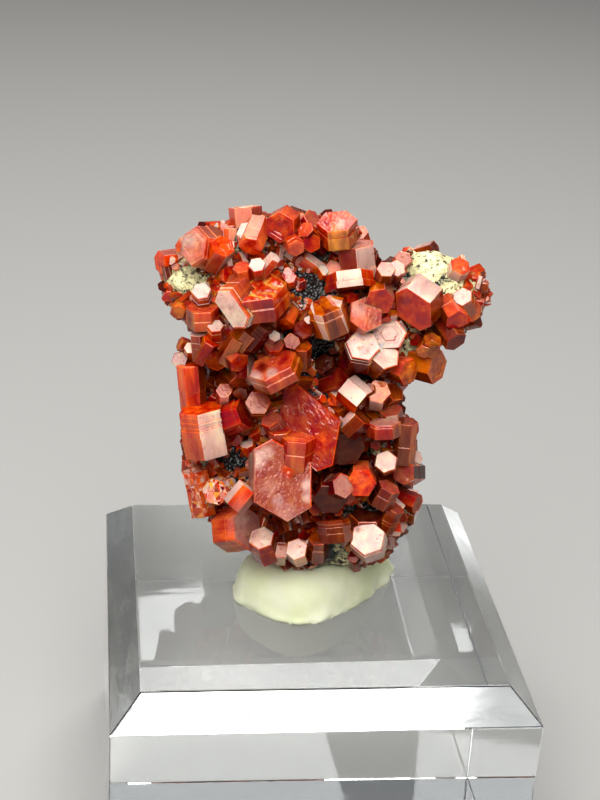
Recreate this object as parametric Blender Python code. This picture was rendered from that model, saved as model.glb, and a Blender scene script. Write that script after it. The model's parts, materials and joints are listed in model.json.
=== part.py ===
"""Vanadinite cluster on its rock, stuck with putty on a clear acrylic block.

Units are metres and +Z is up. The origin is at the middle of the block's underside,
+X runs along the block's front edge and -Y points at the person who looks at it.
The crystal tables are in millimetres and degrees.
"""
import math
from collections import namedtuple

import bmesh
import bpy
from mathutils import Matrix, Vector, noise

MM = 0.001
GAP = 0.0003            # room left between two touching pieces
MERGE = 0.000004        # corners closer than this are one corner

# Display block
BLOCK_SIDE = 0.0381
BLOCK_HEIGHT = 0.0254
BEVEL_IN = 0.0027
BEVEL_DROP = 0.0026

# Show face: the point that the cluster is read from, and how that view is turned
EYE = Vector((-0.0211, -0.1332, 0.1100))
VIEW_YAW = math.radians(8.2)
VIEW_PITCH = math.radians(25.6)
VIEW_ROLL = math.radians(3.9)
SHOW_DISTANCE = 0.150   # from the eye to the plane through the middle of the cluster
SHOW_SHIFT = 0.00137    # the cluster's middle is this far right of and below the sight axis

SHOW_FORWARD = Vector((math.sin(VIEW_YAW) * math.cos(VIEW_PITCH),
                       math.cos(VIEW_YAW) * math.cos(VIEW_PITCH),
                       -math.sin(VIEW_PITCH)))
LEVEL_RIGHT = Vector((math.cos(VIEW_YAW), -math.sin(VIEW_YAW), 0.0))
LEVEL_UP = LEVEL_RIGHT.cross(SHOW_FORWARD)
SHOW_RIGHT = math.cos(VIEW_ROLL) * LEVEL_RIGHT + math.sin(VIEW_ROLL) * LEVEL_UP
SHOW_UP = SHOW_RIGHT.cross(SHOW_FORWARD)
SHOW_MIDDLE = EYE + SHOW_DISTANCE * SHOW_FORWARD + SHOW_SHIFT * (SHOW_RIGHT + SHOW_UP)

# Rock: overlapping lumps as across, up, out, then their half sizes
ROCK_LUMPS = (
    (-1.5, -9.0, -4.0, 8.6, 6.0, 6.0),
    (-1.5, 0.0, -1.2, 9.4, 7.5, 5.7),
    (-2.5, 8.0, 2.0, 9.6, 6.4, 5.2),
    (-3.0, 12.2, 3.5, 7.6, 2.9, 3.8),
    (-10.0, 9.2, 1.0, 3.4, 3.6, 3.6),
    (10.4, 8.3, 1.5, 4.9, 3.7, 3.4),
    (6.0, 5.5, 1.0, 5.0, 5.0, 5.0),
    (0.8, -13.4, -4.0, 6.8, 3.2, 5.0),
    (5.4, -11.0, -3.5, 3.1, 3.4, 4.3),
    (-7.4, -6.0, -2.5, 4.2, 6.6, 4.8),
)
ROCK_VOXEL = 0.0009
ROCK_TRIANGLES = 1500
ROCK_ROUGH = 0.0008     # how far its surface wanders in and out
ROCK_GRAIN = 0.0032     # size of one such bump

# Putty: an oval lump pressed flat on the block, longer towards the right and the back
PUTTY_MIDDLE = Vector((0.0010, -0.0004, BLOCK_HEIGHT + GAP))
PUTTY_HALF = Vector((0.0090, 0.0055, 0.0056))
PUTTY_TURN = math.radians(23)
PUTTY_TAPER = 0.20      # how much narrower its right end is
PUTTY_BITE = 0.00045    # how much wider than the rock its socket is

# Crystals that show. One group grows as one solid, and each row is one crystal:
# its end face's centre at across and up, how proud it stands of the cluster's front,
# the tilt of its axis from the line of sight, the clock direction in which it leans
# (0 right, 90 up), its spin, width over the flats and length, and, where they differ,
# six face distances as parts of half the width.
Crystal = namedtuple("Crystal", "across up proud tilt clock spin wide long sides",
                     defaults=[(1.0,) * 6])
GROUPS = {
    "far_left_prism": [
        (-14.2, 11.2, -1.0, 62, 188, 0, 1.9, 4.2),
    ],
    "left_crown_prisms": [
        (-11.1, 12.7, 1.0, 46, 172, 0, 3.0, 2.6),
        (-12.2, 12.9, 0.6, 55, 150, 0, 1.5, 2.4),
        (-8.4, 12.7, 0.6, 35, 60, 10, 1.9, 3.2),
    ],
    "crown_peach_prisms": [
        (-6.4, 16.3, -1.2, 86, 95, -9, 2.6, 3.9),
        (-6.0, 14.0, 0.9, 32, 100, 0, 2.0, 3.4),
        (-5.9, 12.6, 0.8, 45, 250, 15, 1.9, 3.0),
    ],
    "crown_hexagon": [
        (-3.2, 14.4, 1.2, 18, 228, 10, 2.4, 2.8),
        (-1.7, 12.5, 0.8, 30, 300, 0, 1.4, 3.0),
    ],
    "crown_right_prisms": [
        (2.0, 15.0, 0.8, 57, 95, 0, 3.1, 2.0),
        (-0.9, 14.2, 0.7, 40, 130, 10, 1.4, 3.4),
        (-0.3, 13.0, 0.2, 15, 0, 0, 1.5, 3.0),
    ],
    "mauve_block": [
        (3.7, 12.9, -1.6, 76, 95, 30, 3.1, 3.4),
        (3.1, 10.2, -1.6, 100, 97, 0, 3.7, 1.5),
    ],
    "shoulder_prisms": [
        (6.5, 10.6, 0.8, 35, 75, 15, 1.5, 3.4),
        (7.5, 10.7, 0.4, 25, 60, 0, 1.4, 3.0),
        (5.9, 7.6, 1.2, 25, 270, 10, 2.3, 3.0),
        (4.7, 6.5, 1.0, 20, 45, 10, 2.8, 3.0),
    ],
    "lobe_top_prism": [
        (13.3, 10.9, 0.5, 40, 60, 0, 1.7, 2.6),
    ],
    "lobe_big_prism": [
        (9.0, 6.9, 2.2, 35, 228, 10, 3.2, 3.0, (1.0, 0.95, 1.25, 1.0, 0.95, 1.25)),
    ],
    "lobe_tip_prisms": [
        (14.9, 8.9, 0.0, 58, 15, 0, 1.6, 3.2),
        (14.6, 6.7, 0.0, 50, 340, 10, 1.7, 3.2),
        (13.5, 8.1, 1.2, 30, 110, 10, 1.6, 2.4),
        (13.0, 5.9, 1.4, 45, 300, 0, 1.9, 2.6),
        (12.9, 3.9, 0.4, 60, 305, 0, 1.9, 3.4),
    ],
    "lobe_under_prisms": [
        (11.2, 1.6, -0.6, 60, 345, 0, 2.7, 4.0),
        (10.8, 4.1, 0.8, 40, 60, 0, 1.5, 2.6),
        (9.9, 3.0, 0.9, 35, 250, 0, 1.2, 2.6),
        (10.9, 3.0, 1.0, 30, 300, 20, 1.2, 2.6),
    ],
    "white_hexagons": [
        (4.4, 3.6, 1.2, 25, 80, 0, 2.6, 2.8),
        (6.8, 4.7, 1.0, 25, 75, 20, 2.7, 2.8),
        (6.5, 2.7, 2.0, 28, 45, 5, 2.3, 2.8),
        (8.6, 1.2, 0.8, 50, 340, 0, 2.2, 3.0),
    ],
    "fractured_crystal": [
        (-5.4, 9.0, 1.6, 60, 97, 0, 4.6, 2.2),
        (-7.6, 6.9, 1.6, 35, 215, 0, 2.6, 3.0),
        (-3.7, 11.7, 0.4, 60, 50, 30, 1.1, 2.6),
        (-5.3, 11.0, 0.6, 30, 100, 0, 1.3, 3.2),
        (-6.7, 10.8, 0.5, 50, 100, 0, 1.4, 2.8),
    ],
    "left_white_and_orange": [
        (-10.4, 8.6, 0.8, 30, 100, 0, 1.5, 2.4),
        (-10.3, 7.2, 0.6, 62, 92, 0, 2.5, 1.8),
    ],
    "left_small_prisms": [
        (-9.1, 5.4, 1.0, 40, 95, 0, 1.3, 2.6),
        (-9.4, 4.1, 0.8, 50, 60, 0, 1.5, 2.6),
        (-10.6, 4.7, 0.7, 70, 95, 30, 1.5, 2.4),
        (-9.2, 2.0, 0.8, 50, 250, 0, 1.7, 3.0),
    ],
    "amber_brown_prisms": [
        (-6.9, 4.4, 0.8, 62, 60, 0, 1.7, 2.8),
        (-5.7, 4.9, 0.6, 62, 50, 0, 1.8, 2.8),
        (-6.9, 2.0, 1.4, 45, 315, 0, 1.7, 2.8),
        (-6.7, 0.2, 0.6, 60, 270, 0, 1.9, 3.0),
        (-4.5, 5.5, 0.8, 58, 50, 0, 1.5, 2.6),
        (-4.0, 6.7, 0.6, 40, 90, 0, 1.5, 3.0),
    ],
    "left_edge_prisms": [
        (-12.4, 3.8, 0.2, 70, 160, 0, 1.2, 2.8),
        (-12.4, 2.3, 0.6, 28, 160, 0, 1.4, 2.8),
        (-11.4, 3.4, 0.9, 20, 90, 0, 1.0, 2.8),
        (-11.4, 1.9, 0.0, 74, 95, 0, 2.2, 4.2),
    ],
    "pitted_tablet": [
        (-3.9, 1.9, 1.8, 56, 118, 0, 3.4, 1.5, (1.15, 1.0, 1.15, 1.15, 1.0, 1.15)),
        (-3.7, 4.5, 0.8, 30, 60, 0, 1.0, 2.8),
        (-3.7, 3.7, 0.7, 35, 90, 0, 1.5, 2.8),
    ],
    "middle_brown_prisms": [
        (-2.1, 4.0, 0.8, 15, 60, 15, 1.3, 3.0),
        (-1.1, 5.1, 0.2, 30, 60, 0, 1.6, 3.0),
        (-1.2, 3.6, 0.5, 50, 90, 0, 1.5, 2.4),
    ],
    "amber_glass_prism": [
        (1.0, 7.3, 0.8, 60, 108, 10, 2.9, 2.5),
    ],
    "pocket_dark_prisms": [
        (0.8, 2.0, -1.8, 30, 120, 0, 1.6, 2.6),
        (2.4, 0.6, -0.8, 40, 20, 0, 1.8, 2.6),
        (3.2, 2.2, -1.4, 30, 60, 0, 1.8, 2.6),
    ],
    "upper_big_hexagon": [
        (-0.4, -3.9, 0.6, 14, 180, -10, 5.0, 3.0, (1.52, 1.02, 0.84, 1.66, 1.2, 1.04)),
        (3.1, -5.8, 0.2, 35, 330, 0, 3.0, 3.0),
    ],
    "lower_big_hexagon": [
        (-2.9, -8.8, 3.2, 12, 10, -10, 5.4, 3.2, (1.37, 0.96, 1.07, 1.19, 0.93, 1.0)),
        (-6.0, -9.4, 2.8, 84, 50, 0, 2.0, 2.2),
    ],
    "between_hexagons_prisms": [
        (-1.6, -4.7, 1.4, 66, 85, 0, 2.7, 3.4),
        (-3.2, -4.1, 0.8, 65, 95, 0, 1.9, 2.6),
        (-4.1, -3.1, 0.8, 45, 120, 0, 1.6, 2.6),
    ],
    "left_striated_prism": [
        (-10.4, -2.1, 1.2, 74, 100, 18, 3.7, 4.2),
        (-6.4, -2.6, 0.0, 60, 20, 0, 2.4, 3.6),
        (-8.3, -0.5, 0.6, 25, 90, 0, 1.3, 3.4),
    ],
    "left_lower_prism": [
        (-11.0, -7.8, 0.6, 78, 100, 30, 2.3, 4.2),
    ],
    "glittering_prism": [
        (-9.2, -9.8, 1.6, 25, 200, 0, 2.2, 3.2),
    ],
    "lower_left_tablet": [
        (-6.2, -13.1, 1.0, 46, 5, 0, 3.4, 2.7),
        (-4.9, -14.0, 1.8, 32, 110, 0, 2.1, 3.0),
    ],
    "bottom_small_prisms": [
        (-3.1, -15.1, 1.0, 14, 90, 0, 1.4, 3.0),
        (-1.7, -15.0, 1.2, 14, 110, 0, 1.8, 3.0),
    ],
    "middle_pale_prism": [
        (-5.2, -1.6, 0.4, 15, 90, 0, 2.0, 2.6),
    ],
    "white_square_prism": [
        (4.5, -1.6, 1.0, 78, 320, 0, 2.4, 2.2),
        (4.3, -2.9, 0.8, 72, 45, 0, 1.9, 2.0),
    ],
    "right_orange_prisms": [
        (4.9, -0.3, 0.8, 40, 130, 0, 1.0, 2.6),
        (5.8, -0.6, 1.2, 18, 80, 0, 2.0, 2.6),
        (7.3, -0.6, 0.3, 45, 45, 0, 1.7, 2.6),
    ],
    "right_flat_tablet": [
        (6.3, -3.4, 1.4, 72, 92, 0, 2.6, 1.2),
        (6.9, -2.2, 0.4, 45, 100, 0, 1.8, 2.8),
        (8.4, -3.3, 0.4, 66, 84, 0, 1.8, 4.0),
    ],
    "right_white_pentagon": [
        (6.5, -7.0, 1.4, 8, 90, 20, 1.8, 2.4),
    ],
    "right_grey_prisms": [
        (8.1, -8.0, 0.4, 20, 180, 0, 2.0, 3.0),
        (9.4, -6.6, -0.4, 50, 20, 0, 1.2, 2.8),
    ],
    "mauve_and_orange_pair": [
        (2.6, -9.2, 1.4, 32, 10, 0, 2.0, 3.0),
        (4.2, -9.0, 1.4, 20, 270, 0, 2.4, 3.0),
        (1.4, -10.5, 0.8, 30, 270, 0, 2.8, 2.6),
    ],
    "right_dark_cube": [
        (6.8, -9.3, 1.4, 62, 60, 0, 1.9, 2.0),
    ],
    "lower_right_prism": [
        (7.3, -11.2, 0.8, 60, 60, 0, 1.6, 2.6),
    ],
    "lower_right_spur": [
        (9.4, -10.9, 0.2, 65, 335, 0, 1.6, 3.2),
    ],
    "lower_right_tablet": [
        (4.8, -14.0, 1.6, 18, 110, 0, 2.8, 2.4),
        (4.8, -11.8, 0.4, 58, 90, 0, 2.8, 2.0),
    ],
    "striated_brown_block": [
        (1.7, -12.3, 0.2, 84, 95, 0, 2.5, 2.0),
        (0.3, -14.0, 0.6, 40, 90, 0, 1.6, 2.6),
    ],
}

# Crystals round the back and sides: azimuth about the cluster's upright axis (0 right,
# 90 behind, 180 left), height of the end face's centre above the table and distance
# from that axis, then tilt from straight out, clock, spin, width and length as above.
CLUSTER_AXIS = Vector((-0.0008, 0.0018, 0.0))
BackCrystal = namedtuple("BackCrystal", "azimuth height radius tilt clock spin wide long")
BACK_GROUPS = {
    "back_big_hexagon": [
        (95, 47.0, 8.3, 14, 60, 12, 4.4, 3.8),
        (70, 44.6, 7.2, 34, 200, 0, 2.4, 3.4),
    ],
    "back_upper_prisms": [
        (108, 56.2, 8.7, 28, 120, 5, 3.3, 3.6),
        (122, 54.6, 9.0, 40, 205, 0, 2.2, 3.6),
    ],
    "back_crown_prism": [
        (86, 59.0, 6.2, 36, 84, 20, 2.7, 3.6),
    ],
    "back_right_prism": [
        (52, 52.2, 8.1, 26, 330, 0, 2.9, 3.8),
    ],
    "back_right_tablet": [
        (30, 47.4, 8.9, 62, 95, 8, 3.2, 2.4),
        (36, 44.2, 8.0, 40, 280, 0, 1.9, 3.2),
    ],
    "back_low_prisms": [
        (98, 38.0, 6.8, 20, 265, 15, 3.1, 3.4),
        (116, 36.6, 6.8, 38, 235, 0, 2.1, 3.6),
    ],
    "back_low_right_prism": [
        (60, 35.8, 6.4, 34, 300, 0, 2.5, 3.4),
    ],
    "back_left_prisms": [
        (140, 45.6, 10.1, 24, 30, 8, 3.1, 3.8),
        (132, 41.6, 8.4, 40, 250, 0, 2.0, 3.4),
    ],
    "left_side_hexagon": [
        (166, 49.6, 10.6, 20, 100, 0, 3.5, 3.6),
    ],
    "left_side_low_prism": [
        (160, 37.8, 10.3, 30, 215, 10, 2.7, 3.6),
    ],
    "left_side_upper_prism": [
        (156, 55.4, 14.2, 24, 150, 0, 2.5, 3.6),
    ],
    "lobe_back_prism": [
        (20, 56.4, 12.3, 26, 60, 10, 2.7, 3.6),
    ],
    "right_side_prism": [
        (14, 45.8, 8.8, 22, 330, 0, 2.6, 3.4),
    ],
    "right_low_prism": [
        (22, 36.4, 7.4, 30, 300, 0, 2.5, 3.4),
    ],
}


def show_point(across, up, out):
    """Point read at across and up in the show plane, moved along its line of sight."""
    on_plane = SHOW_MIDDLE + across * MM * SHOW_RIGHT + up * MM * SHOW_UP
    return EYE + (on_plane - EYE) * (1.0 - out * MM / SHOW_DISTANCE)


def front_height(across, up):
    """How far the cluster's front stands out of the show plane, in millimetres."""
    column = 6.5 + 0.28 * up - 5.0 * abs((across + 1.5) / 12.0) ** 2.5
    column -= 4.0 * max(0.0, (up - 9.0) / 7.0) ** 2
    if across > 7.0 and up > 0.0:
        lobe = 5.6 - 3.0 * ((across - 10.5) / 5.0) ** 2
        return max(column, lobe)
    return column


def crystal_frame(centre, toward, above, tilt, clock, spin):
    """Matrix whose origin is the end face's centre and whose Z is the crystal's axis."""
    right = above.cross(toward).normalized()
    above = toward.cross(right)
    lean = math.radians(clock)
    leaning = math.cos(lean) * right + math.sin(lean) * above
    level = math.cos(lean) * above - math.sin(lean) * right
    axis = math.cos(math.radians(tilt)) * toward + math.sin(math.radians(tilt)) * leaning
    side = axis.cross(level)
    turned = math.cos(math.radians(spin)) * level + math.sin(math.radians(spin)) * side
    frame = Matrix((turned, axis.cross(turned), axis)).transposed().to_4x4()
    frame.translation = centre
    return frame


def show_frame(crystal):
    """Frame of a crystal that is read in the show face."""
    out = front_height(crystal.across, crystal.up) + crystal.proud
    centre = show_point(crystal.across, crystal.up, out)
    toward = (EYE - centre).normalized()
    return crystal_frame(centre, toward, SHOW_UP, crystal.tilt, crystal.clock, crystal.spin)


def back_frame(crystal):
    """Frame of a crystal that stands round the back or a side."""
    azimuth = math.radians(crystal.azimuth)
    outward = Vector((math.cos(azimuth), math.sin(azimuth), 0.0))
    centre = CLUSTER_AXIS + outward * crystal.radius * MM
    centre.z = crystal.height * MM
    upright = Vector((0.0, 0.0, 1.0))
    return crystal_frame(centre, outward, upright, crystal.tilt, crystal.clock, crystal.spin)


def prism_corners(distances):
    """Corners of a six-sided outline whose faces lie at these distances."""
    corners = []
    for index, distance in enumerate(distances):
        following = distances[(index + 1) % 6]
        angle = math.radians(60 * index + 30)
        slide = (following - distance * 0.5) / math.sin(math.radians(60))
        corners.append(Vector((distance * math.cos(angle) - slide * math.sin(angle),
                               distance * math.sin(angle) + slide * math.cos(angle), 0.0)))
    return corners


def prism_mesh(name, frame, distances, length, grow=0.0):
    """Closed hexagonal prism that ends at its frame, larger all round by grow."""
    bm = bmesh.new()
    corners = [bm.verts.new(corner) for corner in prism_corners([d + grow for d in distances])]
    face = bm.faces.new(corners)
    bmesh.ops.translate(bm, vec=(0.0, 0.0, grow), verts=corners)
    pulled = bmesh.ops.extrude_face_region(bm, geom=[face])["geom"]
    ends = [item for item in pulled if isinstance(item, bmesh.types.BMVert)]
    bmesh.ops.translate(bm, vec=(0.0, 0.0, -length - 2.0 * grow), verts=ends)
    bmesh.ops.transform(bm, matrix=frame, verts=bm.verts)
    bmesh.ops.recalc_face_normals(bm, faces=bm.faces)
    mesh = bpy.data.meshes.new(name)
    bm.to_mesh(mesh)
    bm.free()
    return mesh


def temporary(mesh):
    """Object that only takes part in a cut or a union."""
    body = bpy.data.objects.new(mesh.name + "_tool", mesh)
    bpy.context.scene.collection.objects.link(body)
    body.hide_render = True
    body.display_type = "WIRE"
    return body


def evaluated_mesh(body, name):
    """Mesh of an object with its modifiers applied."""
    depsgraph = bpy.context.evaluated_depsgraph_get()
    depsgraph.update()
    mesh = bpy.data.meshes.new_from_object(body.evaluated_get(depsgraph), depsgraph=depsgraph)
    mesh.name = name
    return mesh


def reach_of(mesh):
    """Lowest and highest corner of a mesh."""
    points = [vertex.co for vertex in mesh.vertices]
    low = Vector([min(point[axis] for point in points) for axis in range(3)])
    high = Vector([max(point[axis] for point in points) for axis in range(3)])
    return low, high


def near(mesh, others):
    """Those of the others whose boxes meet the mesh's box."""
    low, high = reach_of(mesh)
    found = []
    for other in others:
        other_low, other_high = reach_of(other)
        if all(other_low[i] < high[i] and low[i] < other_high[i] for i in range(3)):
            found.append(other)
    return found


def combine(mesh, others, operation):
    """Union of a mesh with others, or the mesh less the others."""
    if not others:
        return mesh
    body = temporary(mesh)
    tools = [temporary(other.copy()) for other in others]
    group = bpy.data.collections.new("tools")
    for tool in tools:
        group.objects.link(tool)
    boolean = body.modifiers.new("combine", "BOOLEAN")
    boolean.operation = operation
    boolean.solver = "EXACT"
    boolean.operand_type = "COLLECTION"
    boolean.collection = group
    result = evaluated_mesh(body, mesh.name)
    for tool in tools + [body]:
        bpy.data.objects.remove(tool)
    bpy.data.collections.remove(group)
    return result


def keep_largest_body(mesh):
    """Merge the corners that a cut doubled and drop the chips that it left."""
    bm = bmesh.new()
    bm.from_mesh(mesh)
    bmesh.ops.remove_doubles(bm, verts=bm.verts, dist=MERGE)
    bmesh.ops.dissolve_degenerate(bm, edges=bm.edges, dist=MERGE)
    bodies = []
    waiting = set(bm.faces)
    while waiting:
        body = {waiting.pop()}
        reach = list(body)
        while reach:
            for edge in reach.pop().edges:
                for face in edge.link_faces:
                    if face in waiting:
                        waiting.remove(face)
                        body.add(face)
                        reach.append(face)
        bodies.append(body)
    bodies.sort(key=lambda body: sum(face.calc_area() for face in body))
    for body in bodies[:-1]:
        bmesh.ops.delete(bm, geom=list(body), context="FACES")
    bm.to_mesh(mesh)
    bm.free()


def surface(name, colour, roughness, transmission=0.0, ior=1.5):
    """Principled material in a linear colour."""
    material = bpy.data.materials.new(name)
    material.use_nodes = True
    shader = material.node_tree.nodes["Principled BSDF"]
    shader.inputs["Base Color"].default_value = (*colour, 1.0)
    shader.inputs["Roughness"].default_value = roughness
    shader.inputs["Metallic"].default_value = 0.0
    shader.inputs["Transmission Weight"].default_value = transmission
    shader.inputs["IOR"].default_value = ior
    return material


def place(name, mesh, material):
    """Link a finished mesh as the object of its node."""
    mesh.name = name
    mesh.materials.clear()
    mesh.materials.append(material)
    body = bpy.data.objects.new(name, mesh)
    bpy.context.scene.collection.objects.link(body)
    return body


def block_mesh():
    """Square block whose four top edges are bevelled."""
    bm = bmesh.new()
    bmesh.ops.create_cube(bm, size=1.0)
    bmesh.ops.scale(bm, vec=(BLOCK_SIDE, BLOCK_SIDE, BLOCK_HEIGHT - BEVEL_DROP), verts=bm.verts)
    bmesh.ops.translate(bm, vec=(0.0, 0.0, (BLOCK_HEIGHT - BEVEL_DROP) / 2.0), verts=bm.verts)
    top = max(bm.faces, key=lambda face: face.calc_center_median().z)
    pulled = bmesh.ops.extrude_face_region(bm, geom=[top])["geom"]
    corners = [item for item in pulled if isinstance(item, bmesh.types.BMVert)]
    bmesh.ops.translate(bm, vec=(0.0, 0.0, BEVEL_DROP), verts=corners)
    shrink = 1.0 - 2.0 * BEVEL_IN / BLOCK_SIDE
    bmesh.ops.scale(bm, vec=(shrink, shrink, 1.0), verts=corners)
    bmesh.ops.delete(bm, geom=[top], context="FACES_ONLY")
    bmesh.ops.recalc_face_normals(bm, faces=bm.faces)
    mesh = bpy.data.meshes.new("acrylic_block")
    bm.to_mesh(mesh)
    bm.free()
    return mesh


def rock_mesh():
    """Lumps melted into one body, coarsened, then roughened."""
    bm = bmesh.new()
    for across, up, out, half_across, half_up, half_out in ROCK_LUMPS:
        lump = bmesh.ops.create_icosphere(bm, subdivisions=3, radius=1.0)["verts"]
        frame = Matrix((SHOW_RIGHT, SHOW_UP, -SHOW_FORWARD)).transposed().to_4x4()
        frame.translation = show_point(across, up, out)
        sizes = Matrix.Diagonal((half_across * MM, half_up * MM, half_out * MM, 1.0))
        bmesh.ops.transform(bm, matrix=frame @ sizes, verts=lump)
    mesh = bpy.data.meshes.new("matrix_rock")
    bm.to_mesh(mesh)
    bm.free()
    body = temporary(mesh)
    remesh = body.modifiers.new("melt", "REMESH")
    remesh.mode = "VOXEL"
    remesh.voxel_size = ROCK_VOXEL
    melted = evaluated_mesh(body, "matrix_rock")
    body.modifiers.clear()
    body.data = melted
    triangles = sum(len(face.vertices) - 2 for face in melted.polygons)
    decimate = body.modifiers.new("coarsen", "DECIMATE")
    decimate.ratio = ROCK_TRIANGLES / triangles
    coarse = evaluated_mesh(body, "matrix_rock")
    bpy.data.objects.remove(body)
    for vertex in coarse.vertices:
        vertex.co += vertex.normal * noise.noise(vertex.co / ROCK_GRAIN) * ROCK_ROUGH
    return coarse


def grown_copy(mesh, grow):
    """Copy of a mesh whose corners are moved outwards."""
    copy = mesh.copy()
    for index, vertex in enumerate(mesh.vertices):
        copy.vertices[index].co = vertex.co + vertex.normal * grow
    return copy


def putty_mesh():
    """Oval lump with a flat foot, fuller at its left end than at its right."""
    bm = bmesh.new()
    bmesh.ops.create_uvsphere(bm, u_segments=28, v_segments=14, radius=1.0)
    turn = Matrix.Rotation(PUTTY_TURN, 4, "Z")
    for vertex in bm.verts:
        direction = vertex.co.copy()
        end = direction.x
        wide = 1.0 - PUTTY_TAPER * end ** 3
        vertex.co = Vector((end * PUTTY_HALF.x,
                            direction.y * PUTTY_HALF.y * wide,
                            max(0.0, direction.z) * PUTTY_HALF.z))
    bmesh.ops.transform(bm, matrix=Matrix.Translation(PUTTY_MIDDLE) @ turn, verts=bm.verts)
    bmesh.ops.remove_doubles(bm, verts=bm.verts, dist=MERGE)
    foot = [face for face in bm.faces
            if all(vertex.co.z < PUTTY_MIDDLE.z + MERGE for vertex in face.verts)]
    bmesh.ops.dissolve_faces(bm, faces=foot)
    bmesh.ops.recalc_face_normals(bm, faces=bm.faces)
    mesh = bpy.data.meshes.new("mounting_putty")
    bm.to_mesh(mesh)
    bm.free()
    return mesh


def crystal_groups():
    """Name, frame, face distances and length of every crystal, group by group."""
    for name, rows in GROUPS.items():
        crystals = []
        for row in rows:
            crystal = Crystal(*row)
            distances = [side * crystal.wide * MM / 2.0 for side in crystal.sides]
            crystals.append((show_frame(crystal), distances, crystal.long * MM))
        yield name, crystals
    for name, rows in BACK_GROUPS.items():
        crystals = []
        for row in rows:
            crystal = BackCrystal(*row)
            distances = [crystal.wide * MM / 2.0] * 6
            crystals.append((back_frame(crystal), distances, crystal.long * MM))
        yield name, crystals


def main():
    for item in list(bpy.data.objects):
        bpy.data.objects.remove(item, do_unlink=True)

    acrylic = surface("clear acrylic", (0.95, 0.97, 0.97), 0.03, transmission=1.0, ior=1.49)
    putty_skin = surface("pale putty", (0.70, 0.73, 0.50), 0.65)
    stone = surface("cream and black rock", (0.42, 0.38, 0.26), 0.85)
    crystal_skin = surface("red vanadinite", (0.62, 0.09, 0.03), 0.12, ior=2.2)

    place("acrylic_block", block_mesh(), acrylic)

    rooms = []
    for name, crystals in crystal_groups():
        solids = [prism_mesh(name, *crystal) for crystal in crystals]
        body = combine(solids[0], solids[1:], "UNION")
        body = combine(body, near(body, rooms), "DIFFERENCE")
        keep_largest_body(body)
        place(name, body, crystal_skin)
        rooms += [prism_mesh(name + "_room", *crystal, GAP) for crystal in crystals]

    whole_rock = rock_mesh()
    rock = combine(whole_rock, rooms, "DIFFERENCE")
    keep_largest_body(rock)
    place("matrix_rock", rock, stone)

    putty = putty_mesh()
    sockets = [grown_copy(whole_rock, PUTTY_BITE)] + near(putty, rooms)
    putty = combine(putty, sockets, "DIFFERENCE")
    keep_largest_body(putty)
    place("mounting_putty", putty, putty_skin)


if __name__ == "__main__":
    main()
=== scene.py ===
# %% [markdown]
# # A vanadinite cluster on its rock, held by putty on a clear block
#
# The specimen is a natural cluster of six-sided vanadinite crystals that grew on a rough
# cream and black rock. A lump of pale putty holds the rock on a clear acrylic block.
# The measured solids are loaded first. Each one is then replaced by a finer piece that
# stands in the same place: the block, the putty, the rock, the crystals and the druse of
# tiny crystals between them. The finishes, the light and the camera come with them.

import json
import math
import random
from bisect import bisect
from collections import namedtuple
from itertools import accumulate

import bmesh
import bpy
from mathutils import Matrix, Vector, noise
from mathutils.bvhtree import BVHTree


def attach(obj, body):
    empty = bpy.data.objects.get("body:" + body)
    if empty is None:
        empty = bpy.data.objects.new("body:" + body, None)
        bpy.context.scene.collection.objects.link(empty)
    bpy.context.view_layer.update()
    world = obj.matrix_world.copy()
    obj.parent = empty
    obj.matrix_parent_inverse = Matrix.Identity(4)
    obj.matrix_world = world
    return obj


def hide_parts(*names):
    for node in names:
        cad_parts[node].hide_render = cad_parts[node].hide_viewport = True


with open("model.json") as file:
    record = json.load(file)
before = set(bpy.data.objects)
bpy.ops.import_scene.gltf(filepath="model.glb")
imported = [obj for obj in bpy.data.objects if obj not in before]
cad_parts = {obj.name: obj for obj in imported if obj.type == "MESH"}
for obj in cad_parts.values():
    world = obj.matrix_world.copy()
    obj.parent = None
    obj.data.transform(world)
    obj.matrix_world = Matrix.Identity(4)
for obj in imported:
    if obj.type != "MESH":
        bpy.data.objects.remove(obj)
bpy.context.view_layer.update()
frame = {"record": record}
MM = 0.001

# %% [markdown]
# ## The view that the cluster is read from
#
# The photograph looks down on the show face at about 26 degrees, a little from the left,
# and it is turned by about 4 degrees. The camera could be aimed by eye, but the block's
# corners give its place and lens exactly. The same eye point is used again below, because
# each crystal's place is written as across and up in this view, in millimetres.

# %% The eye point and its three directions
EYE = Vector((-0.0211, -0.1332, 0.1100))
YAW = math.radians(8.2)
PITCH = math.radians(25.6)
ROLL = math.radians(3.9)
SHOW_DISTANCE = 0.150    # from the eye to the plane through the middle of the cluster
SHOW_SHIFT = 0.00137     # the cluster's middle is this far right of and below the sight axis

forward = Vector((math.sin(YAW) * math.cos(PITCH), math.cos(YAW) * math.cos(PITCH),
                  -math.sin(PITCH)))
level_right = Vector((math.cos(YAW), -math.sin(YAW), 0.0))
right = math.cos(ROLL) * level_right + math.sin(ROLL) * level_right.cross(forward)
above = right.cross(forward)
SHOW_TURN = Matrix((right, above, -forward)).transposed().to_4x4()
show_middle = EYE + SHOW_DISTANCE * forward + SHOW_SHIFT * (right + above)
print("the middle of the show plane is at", [round(v / MM, 1) for v in show_middle], "mm")

# %% The camera
camera_data = bpy.data.cameras.new("show_camera")
camera_data.lens = 73.8
camera_data.sensor_width = 36.0
camera_data.clip_start = 0.005
camera_data.clip_end = 20.0
camera = bpy.data.objects.new("show_camera", camera_data)
camera.matrix_world = SHOW_TURN
camera.location = EYE
bpy.context.scene.collection.objects.link(camera)
bpy.context.scene.camera = camera
print("lens", round(camera_data.lens, 1), "mm")

# %% [markdown]
# ## Helpers for finishes and pieces
#
# Colours are written as the hex values a paint program shows, and one function turns them
# into the linear values that the shaders count in. One function adds a node with its
# settings and its links, so that a material reads as a short list, and a pattern's scale
# comes from the real size of its marks. Another turns a finished mesh into a piece that
# rides on the specimen.

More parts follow.
